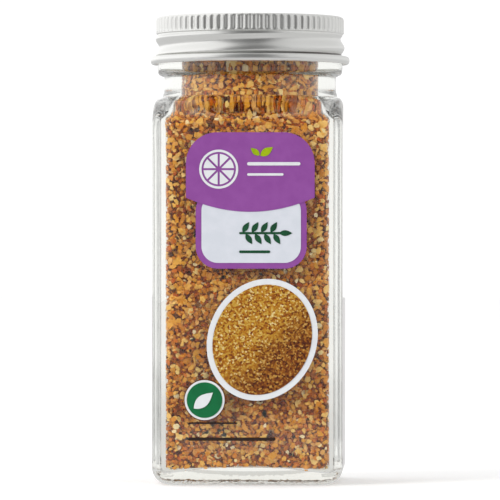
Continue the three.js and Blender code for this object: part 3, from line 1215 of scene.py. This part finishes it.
    def patch(self, core: bpy.types.Object, spacing: float, tries: int) -> Patch:
        """Scatters places evenly over the core's skin, none closer than a spacing.

        Args:
            core: The core.
            spacing: Least distance between two places.
            tries: How many places are tried.

        Returns:
            The places that were kept.
        """
        points, triangles = steady_mesh(core)
        corner_points = points[triangles]
        cross = np.cross(corner_points[:, 1] - corner_points[:, 0], corner_points[:, 2] - corner_points[:, 0])
        area = np.linalg.norm(cross, axis=1)
        picked = self.random.choice(len(area), tries, p=area / area.sum())
        share = self.random.uniform(0, 1, (tries, 2))
        share = np.where(share.sum(axis=1, keepdims=True) > 1, 1 - share, share)
        base = corner_points[picked, 0]
        first, second = corner_points[picked, 1] - base, corner_points[picked, 2] - base
        spots = base + share[:, :1] * first + share[:, 1:] * second
        kept: list[int] = []
        taken: dict[tuple[int, int, int], list[int]] = {}
        cells = np.floor(spots / spacing).astype(int)
        near = [(a, b, c) for a in (-1, 0, 1) for b in (-1, 0, 1) for c in (-1, 0, 1)]
        for index, (cell, spot) in enumerate(zip(cells.tolist(), spots.tolist())):
            crowd = [
                other for a, b, c in near
                for other in taken.get((cell[0] + a, cell[1] + b, cell[2] + c), ())
            ]
            if any(math.dist(spot, spots[other]) < spacing for other in crowd):
                continue
            kept.append(index)
            taken.setdefault(tuple(cell), []).append(index)
        spots = spots[kept]
        return Patch(spots, self.outward(spots))

    def outward(self, spots: np.ndarray) -> np.ndarray:
        """The way from each spot to the nearest glass: a side, a corner, the shoulder or the floor.

        Args:
            spots: Places on the core's skin.

        Returns:
            Unit vectors, one row each.
        """
        jar = self.jar
        straight = jar.cavity_half - jar.cavity_corner
        over = np.maximum(np.abs(spots[:, :2]) - straight, 0) * np.sign(spots[:, :2])
        beside = np.abs(spots[:, :2]).max(axis=1) > straight
        round_neck = smooth_step(spots[:, 2], jar.inside_top - self.neck_blend, jar.inside_top)
        flat = np.where(beside[:, None], over, spots[:, :2])
        flat = flat / np.maximum(np.linalg.norm(flat, axis=1), 1e-6)[:, None]
        radial = spots[:, :2] / np.maximum(np.linalg.norm(spots[:, :2], axis=1), 1e-6)[:, None]
        across = flat * (1 - round_neck[:, None]) + radial * round_neck[:, None]
        at_corner = np.hypot(spots[:, 0], spots[:, 1]) > jar.cavity_half
        slope = np.where(at_corner, self.corner_slope, self.side_slope)
        rise = slope * smooth_step(spots[:, 2], jar.inside_top - 6, jar.inside_top - 1)
        rise = rise * (1 - smooth_step(spots[:, 2], jar.inside_top, jar.inside_top + 1.5))
        on_floor = spots[:, 2] < jar.floor_height(spots) + self.core_inset + 0.6
        on_floor &= np.abs(spots[:, :2]).max(axis=1) < jar.cavity_half - self.core_inset - 0.5
        up = np.where(on_floor, -1.0, rise)
        across = np.where(on_floor[:, None], 0, across)
        normals = np.column_stack([across, up])
        return normals / np.linalg.norm(normals, axis=1)[:, None]

    def bit_shapes(
        self, kind: Kind, draw: np.random.Generator, count: int
    ) -> list[tuple[np.ndarray, np.ndarray]]:
        """A few bits of one kind, each knocked out of true in its own way.

        Args:
            kind: The kind.
            draw: Where its random numbers come from.
            count: How many shapes.

        Returns:
            Points and triangles of each shape, about one unit across.
        """
        shapes = []
        for _ in range(count):
            if kind.form is Form.CHUNK:
                bpy.ops.mesh.primitive_ico_sphere_add(subdivisions=1, radius=0.5)
            elif kind.form is Form.CHIP:
                bpy.ops.mesh.primitive_circle_add(vertices=7, radius=0.5, fill_type="NGON")
            else:
                bpy.ops.mesh.primitive_grid_add(x_subdivisions=4, y_subdivisions=1, size=1)
            obj = bpy.context.object
            edit(obj)
            if kind.form is not Form.CHUNK:
                bpy.ops.mesh.extrude_region_move(TRANSFORM_OT_translate={"value": (0, 0, self.bit_thickness)})
            close_edit()
            points, triangles = steady_mesh(obj)
            points *= MM
            points += draw.uniform(-1, 1, points.shape) * self.bit_jitter * (1, 1, 0.5)
            width = draw.uniform(*(self.shred_width if kind.form is Form.SHRED else self.bit_width))
            points *= (1.0, width, kind.flatness)
            curl = draw.uniform(-self.curl, self.curl) if kind.form is not Form.CHUNK else 0.0
            points[:, 2] += curl * points[:, 0] ** 2
            points[:, 1] += self.bend * draw.uniform(-1, 1) * points[:, 0] ** 2
            shapes.append((points - points.mean(axis=0), triangles))
            bpy.data.objects.remove(obj, do_unlink=True)
        return shapes

    def scatter(self, grain: Grain, patch: Patch, depth: float) -> tuple[np.ndarray, np.ndarray, np.ndarray]:
        """Lays bits of one kind at a patch's places, flat side to the glass, under its surface.

        Args:
            grain: The kind.
            patch: Where they go.
            depth: How far under the glass the outermost point lies, at most.

        Returns:
            Points, triangles and each point's shade.
        """
        kind = KINDS[grain]
        draw = np.random.default_rng(self.seed + len(patch.spots))
        shapes = self.bit_shapes(kind, draw, self.shapes)
        points, triangles, shades, start = [], [], [], 0
        low, high = kind.size
        for spot, normal in zip(patch.spots, patch.normals):
            base, faces = shapes[draw.integers(len(shapes))]
            size = low + (high - low) * draw.beta(*self.size_spread)
            helper = np.array([0, 0, 1.0]) if abs(normal[2]) < 0.8 else np.array([1.0, 0, 0])
            side = np.cross(helper, normal)
            side /= np.linalg.norm(side)
            spin = draw.uniform(0, FULL_TURN)
            along = math.cos(spin) * side + math.sin(spin) * np.cross(normal, side)
            lean = normal + self.tilt * draw.normal(0, 1) * along
            lean = lean + self.tilt * draw.normal(0, self.side_tilt) * np.cross(normal, along)
            lean /= np.linalg.norm(lean)
            first = along - lean * along.dot(lean)
            first /= np.linalg.norm(first)
            axes = np.array([first, np.cross(lean, first), lean])
            placed = base @ axes * size
            proud = (placed @ normal).max()
            wall = spot + normal * self.core_inset
            placed = placed + wall - normal * (proud + draw.uniform(-self.press, depth))
            points.append(placed)
            triangles.append(faces + start)
            shades.append(np.full(len(placed), draw.uniform()))
            start += len(placed)
        return np.concatenate(points), np.concatenate(triangles), np.concatenate(shades)

    def bits(self, grain: Grain, layers: Sequence[tuple[Patch, float]]) -> bpy.types.Object:
        """Joins all the loose bits of one kind into one piece.

        Args:
            grain: The kind.
            layers: Places and greatest depth of each layer.

        Returns:
            The new object.
        """
        points, triangles, shades, start = [], [], [], 0
        for patch, depth in layers:
            placed, faces, tones = self.scatter(grain, patch, depth)
            points.append(placed)
            triangles.append(faces + start)
            shades.append(tones)
            start += len(placed)
        tone = np.concatenate(shades)
        settled = self.settle(np.concatenate(points), self.wall_gap + self.gap_spread * ((tone * 7) % 1))
        faces = np.concatenate(triangles)
        mesh = bpy.data.meshes.new(grain.value)
        mesh.from_pydata((settled * MM).tolist(), [], faces.tolist())
        layer = mesh.attributes.new("shade", "FLOAT", "POINT")
        layer.data.foreach_set("value", tone.astype(np.float32))
        obj = bpy.data.objects.new(grain.value, mesh)
        bpy.context.scene.collection.objects.link(obj)
        shade(obj, 48)
        return obj

    def build(self) -> list[bpy.types.Object]:
        """Makes the core and the eight kinds of loose bit."""
        core = self.core()
        near = self.patch(core, self.spacing, self.near_tries)
        deep = self.patch(core, self.deep_spacing, self.deep_tries)
        made = [core]
        splits = []
        shares = [KINDS[grain].share for grain in Grain]
        for patch in (near, deep):
            seen = patch.spots[:, 2] < self.top - 1.0
            kinds = self.random.choice(len(Grain), len(patch.spots), p=shares)
            chosen = [(kinds == i) & seen for i in range(len(Grain))]
            splits.append([Patch(patch.spots[mask], patch.normals[mask]) for mask in chosen])
        for grain, near_part, deep_part in zip(Grain, *splits):
            made.append(self.bits(grain, [(near_part, self.near_depth), (deep_part, self.deep_depth)]))
        return made

    def dress(self, made: list[bpy.types.Object]) -> None:
        """Gives the core and the bits their materials and their place in the frame.

        Args:
            made: The core, then the pieces of the bits.
        """
        made[0].data.materials.append(CoreFinish().material())
        for obj, grain in zip(made[1:], Grain):
            obj.data.materials.append(GrainFinish(grain.value, KINDS[grain].shades).material())
        for obj in made:
            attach(obj, BODY)
            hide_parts("peel_heap")


@dataclass(frozen=True)
class MottledInk:
    """Smooth ink under a thin varnish, faintly mottled, with the dots of the printing screen in its gloss."""

    name: str
    colour: Colour
    mottle: Colour
    mottle_scale: float = 700.0
    gloss: tuple[float, float] = (0.32, 0.46)
    dots: float = 0.0
    dot_scale: float = 5200.0
    dot_depth: float = 0.00001
    index: float = 1.45

    def material(self) -> bpy.types.Material:
        """Builds the material, or finds it again for a second piece."""
        if self.name in bpy.data.materials:
            return bpy.data.materials[self.name]
        wiring = Wiring.start(self.name)
        coat = wiring.principled(IOR=self.index)
        mottle = wiring.ramp(wiring.noise(self.mottle_scale, 4.0), [(0.35, self.colour), (0.65, self.mottle)])
        wiring.join(mottle, coat.inputs["Base Color"])
        screen = wiring.noise(self.dot_scale, 1.0)
        wiring.join(wiring.span(screen, *self.gloss), coat.inputs["Roughness"])
        if self.dots:
            wiring.join(wiring.bump(screen, self.dots, self.dot_depth), coat.inputs["Normal"])
        return wiring.finish(coat.outputs["BSDF"])


FIELD_LOOK = {"mottle_scale": 420.0, "gloss": (0.3, 0.46), "dots": 0.25}


class Ink(Enum):
    """The printed coats: the four of the fields, then those of thin ornaments."""

    PURPLE = MottledInk("printed_purple_ink", srgb(144, 79, 156), srgb(138, 73, 150), **FIELD_LOOK)
    PALE = MottledInk("printed_pale_ink", srgb(216, 219, 227), srgb(210, 214, 222), **FIELD_LOOK)
    WHITE = MottledInk("printed_white_ink", srgb(227, 229, 231), srgb(220, 222, 225), **FIELD_LOOK)
    GREEN = MottledInk("printed_green_ink", srgb(2, 108, 59), srgb(2, 98, 53), **FIELD_LOOK)
    LEAF = MottledInk("leaf_green_ink", srgb(160, 182, 8), srgb(140, 168, 10))
    SPRIG = MottledInk("dark_green_ink", srgb(22, 78, 48), srgb(16, 66, 40))
    DARK = MottledInk("dark_ink", srgb(34, 20, 14), srgb(48, 28, 18))
    BROWN = MottledInk("brown_ink", srgb(92, 48, 30), srgb(78, 40, 26))


@dataclass(frozen=True)
class PrintedPeel:
    """The peel printed in the dish: fine gold specks, lit from the upper left."""

    speck_scale: float = 2700.0
    centre: tuple[float, float] = (3.6, 33.0)
    light: Stops = (
        (0.0, srgb(108, 46, 3)),
        (0.25, srgb(156, 91, 12)),
        (0.55, srgb(179, 125, 28)),
        (0.85, srgb(197, 159, 68)),
        (1.0, srgb(222, 202, 146)),
    )
    dark: Stops = (
        (0.0, srgb(56, 14, 1)),
        (0.4, srgb(106, 48, 5)),
        (0.75, srgb(147, 87, 16)),
        (1.0, srgb(188, 142, 66)),
    )
    wobble_scale: float = 160.0
    wobble: float = 14.0
    shade_start: float = 4.0
    shade_full: float = 17.0
    roughness: float = 0.42
    index: float = 1.45

    def material(self) -> bpy.types.Material:
        """Builds the material."""
        wiring = Wiring.start("printed_gold_ink")
        specks, _ = wiring.cells(self.speck_scale)
        across = wiring.calc("SUBTRACT", wiring.axis("X"), wiring.axis("Z"))
        slope = wiring.calc("MULTIPLY_ADD", wiring.noise(self.wobble_scale, 3.0), self.wobble * MM, across)
        middle = (self.centre[0] - self.centre[1]) * MM
        shade_part = wiring.rise(slope, middle + self.shade_start * MM, middle + self.shade_full * MM)
        mix = wiring.add("ShaderNodeMix", data_type="RGBA")
        wiring.join(shade_part, mix.inputs["Factor"])
        wiring.join(wiring.ramp(specks, self.light), mix.inputs["A"])
        wiring.join(wiring.ramp(specks, self.dark), mix.inputs["B"])
        coat = wiring.principled(Roughness=self.roughness, IOR=self.index)
        wiring.join(mix.outputs["Result"], coat.inputs["Base Color"])
        return wiring.finish(coat.outputs["BSDF"])


@dataclass(frozen=True)
class ClearFilm:
    """Clear film, seen only by its faint gloss and fine, slightly uneven surface."""

    gloss: float = 0.02
    roughness: float = 0.08
    ripple_scale: float = 900.0
    ripple_strength: float = 0.3
    ripple_depth: float = 0.00001

    def material(self) -> bpy.types.Material:
        """Builds the material, almost wholly see-through."""
        wiring = Wiring.start("clear_film")
        clear = wiring.add("ShaderNodeBsdfTransparent")
        gloss = wiring.add("ShaderNodeBsdfGlossy")
        gloss.inputs["Roughness"].default_value = self.roughness
        ripple = wiring.bump(wiring.noise(self.ripple_scale, 2.0), self.ripple_strength, self.ripple_depth)
        wiring.join(ripple, gloss.inputs["Normal"])
        return wiring.finish(wiring.mixed(self.gloss, clear.outputs["BSDF"], gloss.outputs["BSDF"]))


@dataclass(frozen=True)
class Box:
    """An upright box on the front face, with rounded corners."""

    left: float
    right: float
    bottom: float
    top: float
    corner: float

    def outline(self, margin: float = 0.0) -> Outline:
        """Its outline, drawn in by a margin.

        Args:
            margin: How far it is drawn in.

        Returns:
            The points.
        """
        radius = self.corner - margin
        centres = [
            (self.right - self.corner, self.top - self.corner),
            (self.left + self.corner, self.top - self.corner),
            (self.left + self.corner, self.bottom + self.corner),
            (self.right - self.corner, self.bottom + self.corner),
        ]
        points = []
        for quarter, (x, z) in enumerate(centres):
            points += arc(x, z, radius, quarter * QUARTER_TURN, (quarter + 1) * QUARTER_TURN, 16)
        return points


def arc(x: float, z: float, radius: float, start: float, end: float, count: int) -> Outline:
    """Points along an arc on the front face.

    Args:
        x: Its centre across.
        z: Its centre's height.
        radius: Its radius.
        start: Its first angle.
        end: Its last angle.
        count: Number of steps.

    Returns:
        The points, from first to last.
    """
    return [
        (x + radius * math.cos(angle), z + radius * math.sin(angle))
        for angle in np.linspace(start, end, count + 1)
    ]


def oval(x: float, z: float, width: float, height: float, tilt: float = 0.0, count: int = 120) -> Outline:
    """Points round a tilted oval on the front face.

    Args:
        x: Its centre across.
        z: Its centre's height.
        width: Half its width.
        height: Half its height.
        tilt: How far it leans anticlockwise, in radians.
        count: Number of points.

    Returns:
        The points.
    """
    swing = np.linspace(0, FULL_TURN, count, endpoint=False)
    u, v = width * np.cos(swing), height * np.sin(swing)
    cos, sin = math.cos(tilt), math.sin(tilt)
    return list(zip(x + u * cos - v * sin, z + u * sin + v * cos))


def leaf(x: float, z: float, length: float, width: float, tilt: float) -> Outline:
    """Points round a pointed leaf that starts at a place and leans by an angle.

    Args:
        x: Where its stalk is, across.
        z: Where its stalk is, in height.
        length: Its length.
        width: Its greatest width.
        tilt: The way it points, in radians from the +X side.

    Returns:
        The points.
    """
    along = np.linspace(0, 1, 15)
    swell = width / 2 * np.sin(math.pi * along ** 0.85)
    u = np.concatenate([along, along[-2:0:-1]]) * length
    v = np.concatenate([-swell, swell[-2:0:-1]])
    cos, sin = math.cos(tilt), math.sin(tilt)
    return list(zip(x + u * cos - v * sin, z + u * sin + v * cos))


@dataclass(frozen=True)
class Coat:
    """One printed piece: its plates, how far out it lies, its look, and the solid that it stands for."""

    name: str
    outlines: list[Outline]
    level: int
    material: bpy.types.Material
    slot: str
    node: str = ""


@dataclass
class FrontLabel:
    """The film on the front face and the coats printed on it."""

    face: float = 21.6
    film_gap: float = 0.05
    film_thickness: float = 0.1
    ink_gap: float = 0.04
    ink_thickness: float = 0.06
    film: Box = Box(-14.2, 16.0, 7.5, 80.4, 2.0)
    header: Box = Box(-13.6, 15.4, 65.0, 79.7, 7.0)
    header_drop: float = 3.2
    panel: Box = Box(-11.4, 13.6, 49.0, 67.0, 5.0)
    panel_border: float = 1.3
    dish: tuple[float, float, float, float] = (3.6, 33.0, 12.2, 14.0)
    dish_tilt: float = math.radians(-24)
    dish_rim: float = 1.3
    disc: tuple[float, float, float] = (-9.4, 19.4, 4.5)
    disc_rim: float = 0.5
    rind_inside: float = 0.88
    segments: int = 8
    segment_gap: float = 0.07
    segment_reach: float = 0.78
    segment_tip: float = 0.14

    def plate(self, name: str, outlines: Sequence[Outline], level: int) -> bpy.types.Object:
        """Lays flat plates of one coat on the face.

        Args:
            name: Name of the piece.
            outlines: The outline of each plate, as places across and up the face.
            level: How far out it lies, from 1, or 0 for the film.

        Returns:
            The new object.
        """
        base = self.film_gap + self.film_thickness + self.ink_gap
        height = base + (level - 1) * (self.ink_thickness + self.ink_gap) if level else self.film_gap
        thickness = self.ink_thickness if level else self.film_thickness
        points, faces = [], []
        for outline in outlines:
            faces.append(range(len(points), len(points) + len(outline)))
            points += [(x * MM, -(self.face + height) * MM, z * MM) for x, z in outline]
        mesh = bpy.data.meshes.new(name)
        mesh.from_pydata(points, [], [list(face) for face in faces])
        obj = bpy.data.objects.new(name, mesh)
        bpy.context.scene.collection.objects.link(obj)
        edit(obj, "FACE")
        bpy.ops.mesh.extrude_region_move(TRANSFORM_OT_translate={"value": (0, -thickness * MM, 0)})
        close_edit()
        return obj

    def header_outline(self) -> Outline:
        """The header: round shoulders, and a lower edge that hangs in a shallow arc."""
        box = self.header
        share = np.linspace(0, 1, 41)
        sag = 4 * self.header_drop * share * (1 - share)
        hang = zip(box.left + (box.right - box.left) * share, box.bottom - sag)
        right = arc(box.right - box.corner, box.top - box.corner, box.corner, 0, QUARTER_TURN, 20)
        left = arc(box.left + box.corner, box.top - box.corner, box.corner, QUARTER_TURN, math.pi, 20)
        return [*hang, *right, *left]

    def half_rings(self, x: float, z: float, outer: float, inner: float) -> list[Outline]:
        """A ring, as two halves.

        Args:
            x: Its middle across.
            z: Its middle's height.
            outer: Its outer radius.
            inner: Its inner radius.

        Returns:
            The outline of each half.
        """
        return [
            [*arc(x, z, outer, start, start + math.pi, 40), *arc(x, z, inner, start + math.pi, start, 40)]
            for start in (0.0, math.pi)
        ]

    def slice_outlines(self, x: float, z: float, radius: float) -> list[Outline]:
        """A cut citrus slice: a ring of rounded segments inside a thin rind.

        Args:
            x: Its middle across.
            z: Its middle's height.
            radius: Its radius.

        Returns:
            The outlines of its rind and segments.
        """
        outlines = self.half_rings(x, z, radius, radius * self.rind_inside)
        spread = FULL_TURN / self.segments / 2 - self.segment_gap
        for i in range(self.segments):
            middle = (i + 0.5) * FULL_TURN / self.segments
            rim = arc(x, z, radius * self.segment_reach, middle - spread, middle + spread, 10)
            tip = radius * self.segment_tip
            outlines.append([*rim, (x + tip * math.cos(middle), z + tip * math.sin(middle))])
        return outlines

    def bar(self, left: float, right: float, z: float, thickness: float) -> Outline:
        """A thin bar with round ends."""
        return Box(left, right, z - thickness / 2, z + thickness / 2, thickness / 2).outline()

    def sprig(self) -> list[Outline]:
        """A sprig of four pairs of leaves with one at its end, and a bar under it."""
        outlines = [self.bar(-1.6, 7.6, 57.0, 0.5)]
        for i in range(4):
            stem = -0.8 + i * 2.1
            outlines.append(leaf(stem, 57.2, 2.7, 1.25, math.radians(58)))
            outlines.append(leaf(stem + 0.7, 56.8, 2.7, 1.25, math.radians(-58)))
        return [*outlines, leaf(7.4, 57.0, 3.0, 1.3, 0.0), self.bar(-1.6, 5.4, 52.8, 0.6)]

    def fields(self) -> list[Coat]:
        """The film and the fields of colour."""
        x, z, width, height = self.dish
        rim = self.dish_rim
        disc_x, disc_z, radius = self.disc
        purple, white = Ink.PURPLE.value.material(), Ink.WHITE.value.material()
        pale, green = Ink.PALE.value.material(), Ink.GREEN.value.material()
        dish = oval(x, z, width, height, self.dish_tilt)
        dish_inside = oval(x, z, width - rim, height - rim, self.dish_tilt)
        disc = oval(disc_x, disc_z, radius, radius)
        disc_inside = oval(disc_x, disc_z, radius - self.disc_rim, radius - self.disc_rim)
        return [
            Coat("front_film", [self.film.outline()], 0, ClearFilm().material(), "label_film", "label_film"),
            Coat("panel_border", [self.panel.outline()], 1, purple, "purple_ink", "print_border"),
            Coat("pale_panel", [self.panel.outline(self.panel_border)], 2, pale, "pale_ink", "print_panel"),
            Coat("header_field", [self.header_outline()], 3, purple, "purple_ink", "print_header"),
            Coat("dish_rim", [dish], 1, white, "white_ink", "print_dish"),
            Coat("dish_peel", [dish_inside], 2, PrintedPeel().material(), "gold_ink", "print_dish_peel"),
            Coat("disc_rim", [disc], 1, white, "white_ink", "print_disc_rim"),
            Coat("disc_field", [disc_inside], 2, green, "green_ink", "print_disc"),
        ]

    def ornaments(self) -> list[Coat]:
        """Plain fruit and leaf figures, bars and rules, where the print has its small motifs."""
        disc_x, disc_z, radius = self.disc
        motifs = [
            *self.slice_outlines(-6.2, 71.4, 4.4),
            self.bar(0.2, 12.2, 72.6, 0.75),
            self.bar(0.2, 8.4, 70.2, 0.55),
            leaf(disc_x - 2.4, disc_z - 1.9, 5.6, 2.6, math.radians(40)),
        ]
        leaves = [leaf(3.2, 74.4, 3.4, 1.7, math.radians(35)), leaf(3.0, 74.5, 2.6, 1.3, math.radians(140))]
        ring = self.half_rings(disc_x, disc_z, radius + 0.22, radius + 0.04)
        rules = [self.bar(-13.1, -2.0, 14.2, 0.4), self.bar(-13.1, 6.6, 10.6, 0.75)]
        return [
            Coat("white_motifs", motifs, 4, Ink.WHITE.value.material(), "white_ink"),
            Coat("leaf_motifs", leaves, 4, Ink.LEAF.value.material(), "green_ink"),
            Coat("panel_sprig", self.sprig(), 3, Ink.SPRIG.value.material(), "green_ink"),
            Coat("disc_line", ring, 1, Ink.BROWN.value.material(), "purple_ink"),
            Coat("foot_rules", rules, 1, Ink.DARK.value.material(), "purple_ink"),
        ]

    def build(self) -> list[bpy.types.Object]:
        """Lays each coat and gives it its material and its place in the frame."""
        pieces = []
        for coat in [*self.fields(), *self.ornaments()]:
            obj = self.plate(coat.name, coat.outlines, coat.level)
            obj.data.materials.append(coat.material)
            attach(obj, BODY)
            if coat.node:
                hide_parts(coat.node)
            pieces.append(obj)
        return pieces


@dataclass(frozen=True)
class Studio:
    """The plain white stage: floor, bright backdrop, soft lamps and the level camera."""

    azimuth: float = 2.2
    distance: float = 1.03
    aim_height: float = 53.2
    frame_width: float = 115.0
    sensor: float = 36.0
    front_edge: float = -0.7
    low_walls: Levels = ((0.0, 0.15), (0.05, 0.195), (0.2, 0.45), (0.6, 0.6), (0.85, 1.0))
    high_walls: Levels = ((0.0, 0.17), (0.35, 0.204), (0.75, 0.75), (1.0, 1.0))
    level_band: tuple[float, float] = (0.02, 0.16)
    side_band: tuple[float, float] = (-0.3, 0.3)
    upper_band: tuple[float, float] = (0.12, 0.45)
    roof_band: tuple[float, float] = (0.95, 1.0)
    sharp_opening: float = 0.2
    left_wall: float = 1.3
    right_wall: float = 0.88
    upper_walls: float = 0.87
    roof: float = 0.7
    backdrop: float = 1.1
    through_glass: float = 0.75
    floor_size: float = 8.0
    floor_shade: float = 0.9
    front_band: tuple[float, float] = (-0.5, -0.3)
    far_band: tuple[float, float] = (0.25, 1.2)
    mirrored_floor: float = 0.7
    mirrored_front: float = 0.1
    floor_through_glass: float = 0.74
    far_floor_through_glass: float = 0.97
    floor_glow: float = 0.22
    far_floor_glow: float = 0.28

    def camera(self) -> None:
        """Sets the camera level with the middle of the jar, a little to its right."""
        data = bpy.data.cameras.new("camera")
        data.sensor_width = self.sensor
        data.lens = self.sensor * self.distance / (self.frame_width * MM)
        angle = math.radians(self.azimuth)
        obj = bpy.data.objects.new("camera", data)
        back = Vector((math.sin(angle), -math.cos(angle), 0))
        obj.location = back * self.distance + Vector((0, 0, self.aim_height * MM))
        obj.rotation_euler = (-back).to_track_quat("-Z", "Y").to_euler()
        bpy.context.scene.collection.objects.link(obj)
        bpy.context.scene.camera = obj

    def lamp(self, name: str, place: tuple[float, float, float], size: float, power: float) -> None:
        """Adds a square soft lamp aimed at the jar.

        Args:
            name: Its name.
            place: Where it is, in metres.
            size: Its side in metres.
            power: Its power in watts.
        """
        data = bpy.data.lights.new(name, "AREA")
        data.size = size
        data.energy = power
        obj = bpy.data.objects.new(name, data)
        obj.location = place
        aim = Vector((0, 0, self.aim_height * MM)) - Vector(place)
        obj.rotation_euler = aim.to_track_quat("-Z", "Y").to_euler()
        obj.visible_glossy = False
        obj.visible_transmission = False
        bpy.context.scene.collection.objects.link(obj)

    def tent(self, wiring: Wiring) -> Socket:
        """How bright the tent is in each direction.

        Its two walls meet the camera's opening in front, which is dark at the level of the jar.

        Args:
            wiring: The world's nodes.

        Returns:
            The brightness.
        """
        way = wiring.add("ShaderNodeTexCoord").outputs["Generated"]
        height = wiring.axis("Z", way)
        level = wiring.add("ShaderNodeVectorMath", operation="MULTIPLY")
        level.inputs[1].default_value = (1, 1, 0)
        wiring.join(way, level.inputs[0])
        compass = wiring.add("ShaderNodeVectorMath", operation="NORMALIZE")
        wiring.join(level.outputs["Vector"], compass.inputs[0])
        heading = compass.outputs["Vector"]
        front = wiring.between(wiring.axis("Y", heading), -1.0, self.front_edge)
        low, high = (
            wiring.ramp(front, [(place, (bright,) * 3) for place, bright in walls])
            for walls in (self.low_walls, self.high_walls)
        )
        walls = wiring.blend(wiring.rise(height, *self.level_band), low, high)
        sharp = wiring.blend(wiring.ray("Is Singular Ray"), 1.0, wiring.span(front, self.sharp_opening, 1.0))
        sideways = wiring.rise(wiring.axis("X", heading), *self.side_band)
        sides = wiring.span(sideways, self.left_wall, self.right_wall)
        upper = wiring.span(wiring.rise(height, *self.upper_band), 1.0, self.upper_walls)
        for factor in (sharp, sides, upper):
            walls = wiring.calc("MULTIPLY", walls, factor)
        return wiring.blend(wiring.rise(height, *self.roof_band), walls, self.roof)

    def world(self) -> None:
        """Surrounds the jar with a white tent, less dark through glass and plain white to the camera."""
        world = bpy.data.worlds.new("studio")
        world.use_nodes = True
        world.node_tree.nodes.clear()
        wiring = Wiring(world)
        tent = self.tent(wiring)
        through = wiring.span(tent, self.through_glass, 1.0)
        bent = wiring.blend(wiring.ray("Is Transmission Ray"), tent, through)
        back = wiring.add("ShaderNodeBackground")
        back.inputs["Color"].default_value = (1, 1, 1, 1)
        wiring.join(wiring.blend(wiring.ray("Is Camera Ray"), bent, self.backdrop), back.inputs["Strength"])
        out = wiring.add("ShaderNodeOutputWorld")
        wiring.join(back.outputs["Background"], out.inputs["Surface"])
        bpy.context.scene.world = world

    def floor(self) -> None:
        """Lays the pale floor, faintly lit from below, and dimmer in mirrors and through glass."""
        bpy.ops.mesh.primitive_plane_add(size=self.floor_size)
        floor = bpy.context.object
        floor.name = "floor"
        wiring = Wiring.start("pale_floor")
        paint = wiring.principled(
            Base_Color=(*(self.floor_shade,) * 3, 1), Roughness=0.9, Emission_Color=(1, 1, 1, 1)
        )
        ahead = wiring.rise(wiring.axis("Y"), *self.front_band)
        mirrored = wiring.span(ahead, self.mirrored_front, self.mirrored_floor)
        radius = wiring.add("ShaderNodeVectorMath", operation="LENGTH")
        wiring.join(wiring.place(), radius.inputs[0])
        outward = wiring.rise(radius.outputs["Value"], *self.far_band)
        through = wiring.span(outward, self.floor_through_glass, self.far_floor_through_glass)
        glow = wiring.span(outward, self.floor_glow, self.far_floor_glow)
        wiring.join(glow, paint.inputs["Emission Strength"])
        unseen = wiring.add("ShaderNodeEmission")
        strength = wiring.blend(wiring.ray("Is Reflection Ray"), through, mirrored)
        wiring.join(strength, unseen.inputs["Strength"])
        shader = wiring.mixed(wiring.ray("Is Camera Ray"), unseen.outputs["Emission"], paint.outputs["BSDF"])
        floor.data.materials.append(wiring.finish(shader))

    def build(self) -> None:
        """Sets the whole stage up."""
        bpy.context.scene.view_settings.view_transform = "Standard"
        self.camera()
        self.world()
        self.floor()
        self.lamp("left_softbox", (-0.88, -0.64, 0.5), 0.4, 7.5)
        self.lamp("right_softbox", (0.75, -0.7, 0.35), 0.5, 3.5)
        paths = bpy.context.scene.cycles
        paths.max_bounces = 32
        paths.glossy_bounces = 16
        paths.transmission_bounces = 32
        paths.transparent_max_bounces = 16


def main() -> None:
    """Builds the stage and the pieces in order and reports each."""
    logging.basicConfig(level=logging.INFO, format="%(message)s")
    bpy.ops.object.select_all(action="DESELECT")
    Studio().build()
    jar = GlassJar()
    glass = jar.build()
    jar.dress(glass)
    log.info("glass: %d faces", len(glass.data.polygons))
    cap = ScrewCap()
    shell = cap.build()
    cap.dress(shell)
    log.info("cap: %d faces", len(shell.data.polygons))
    heap = PeelHeap(jar)
    made = heap.build()
    heap.dress(made)
    for obj in made:
        log.info("%s: %d faces", obj.name, len(obj.data.polygons))
    for obj in FrontLabel().build():
        log.info("%s: %d faces", obj.name, len(obj.data.polygons))


if __name__ == "__main__":
    main()
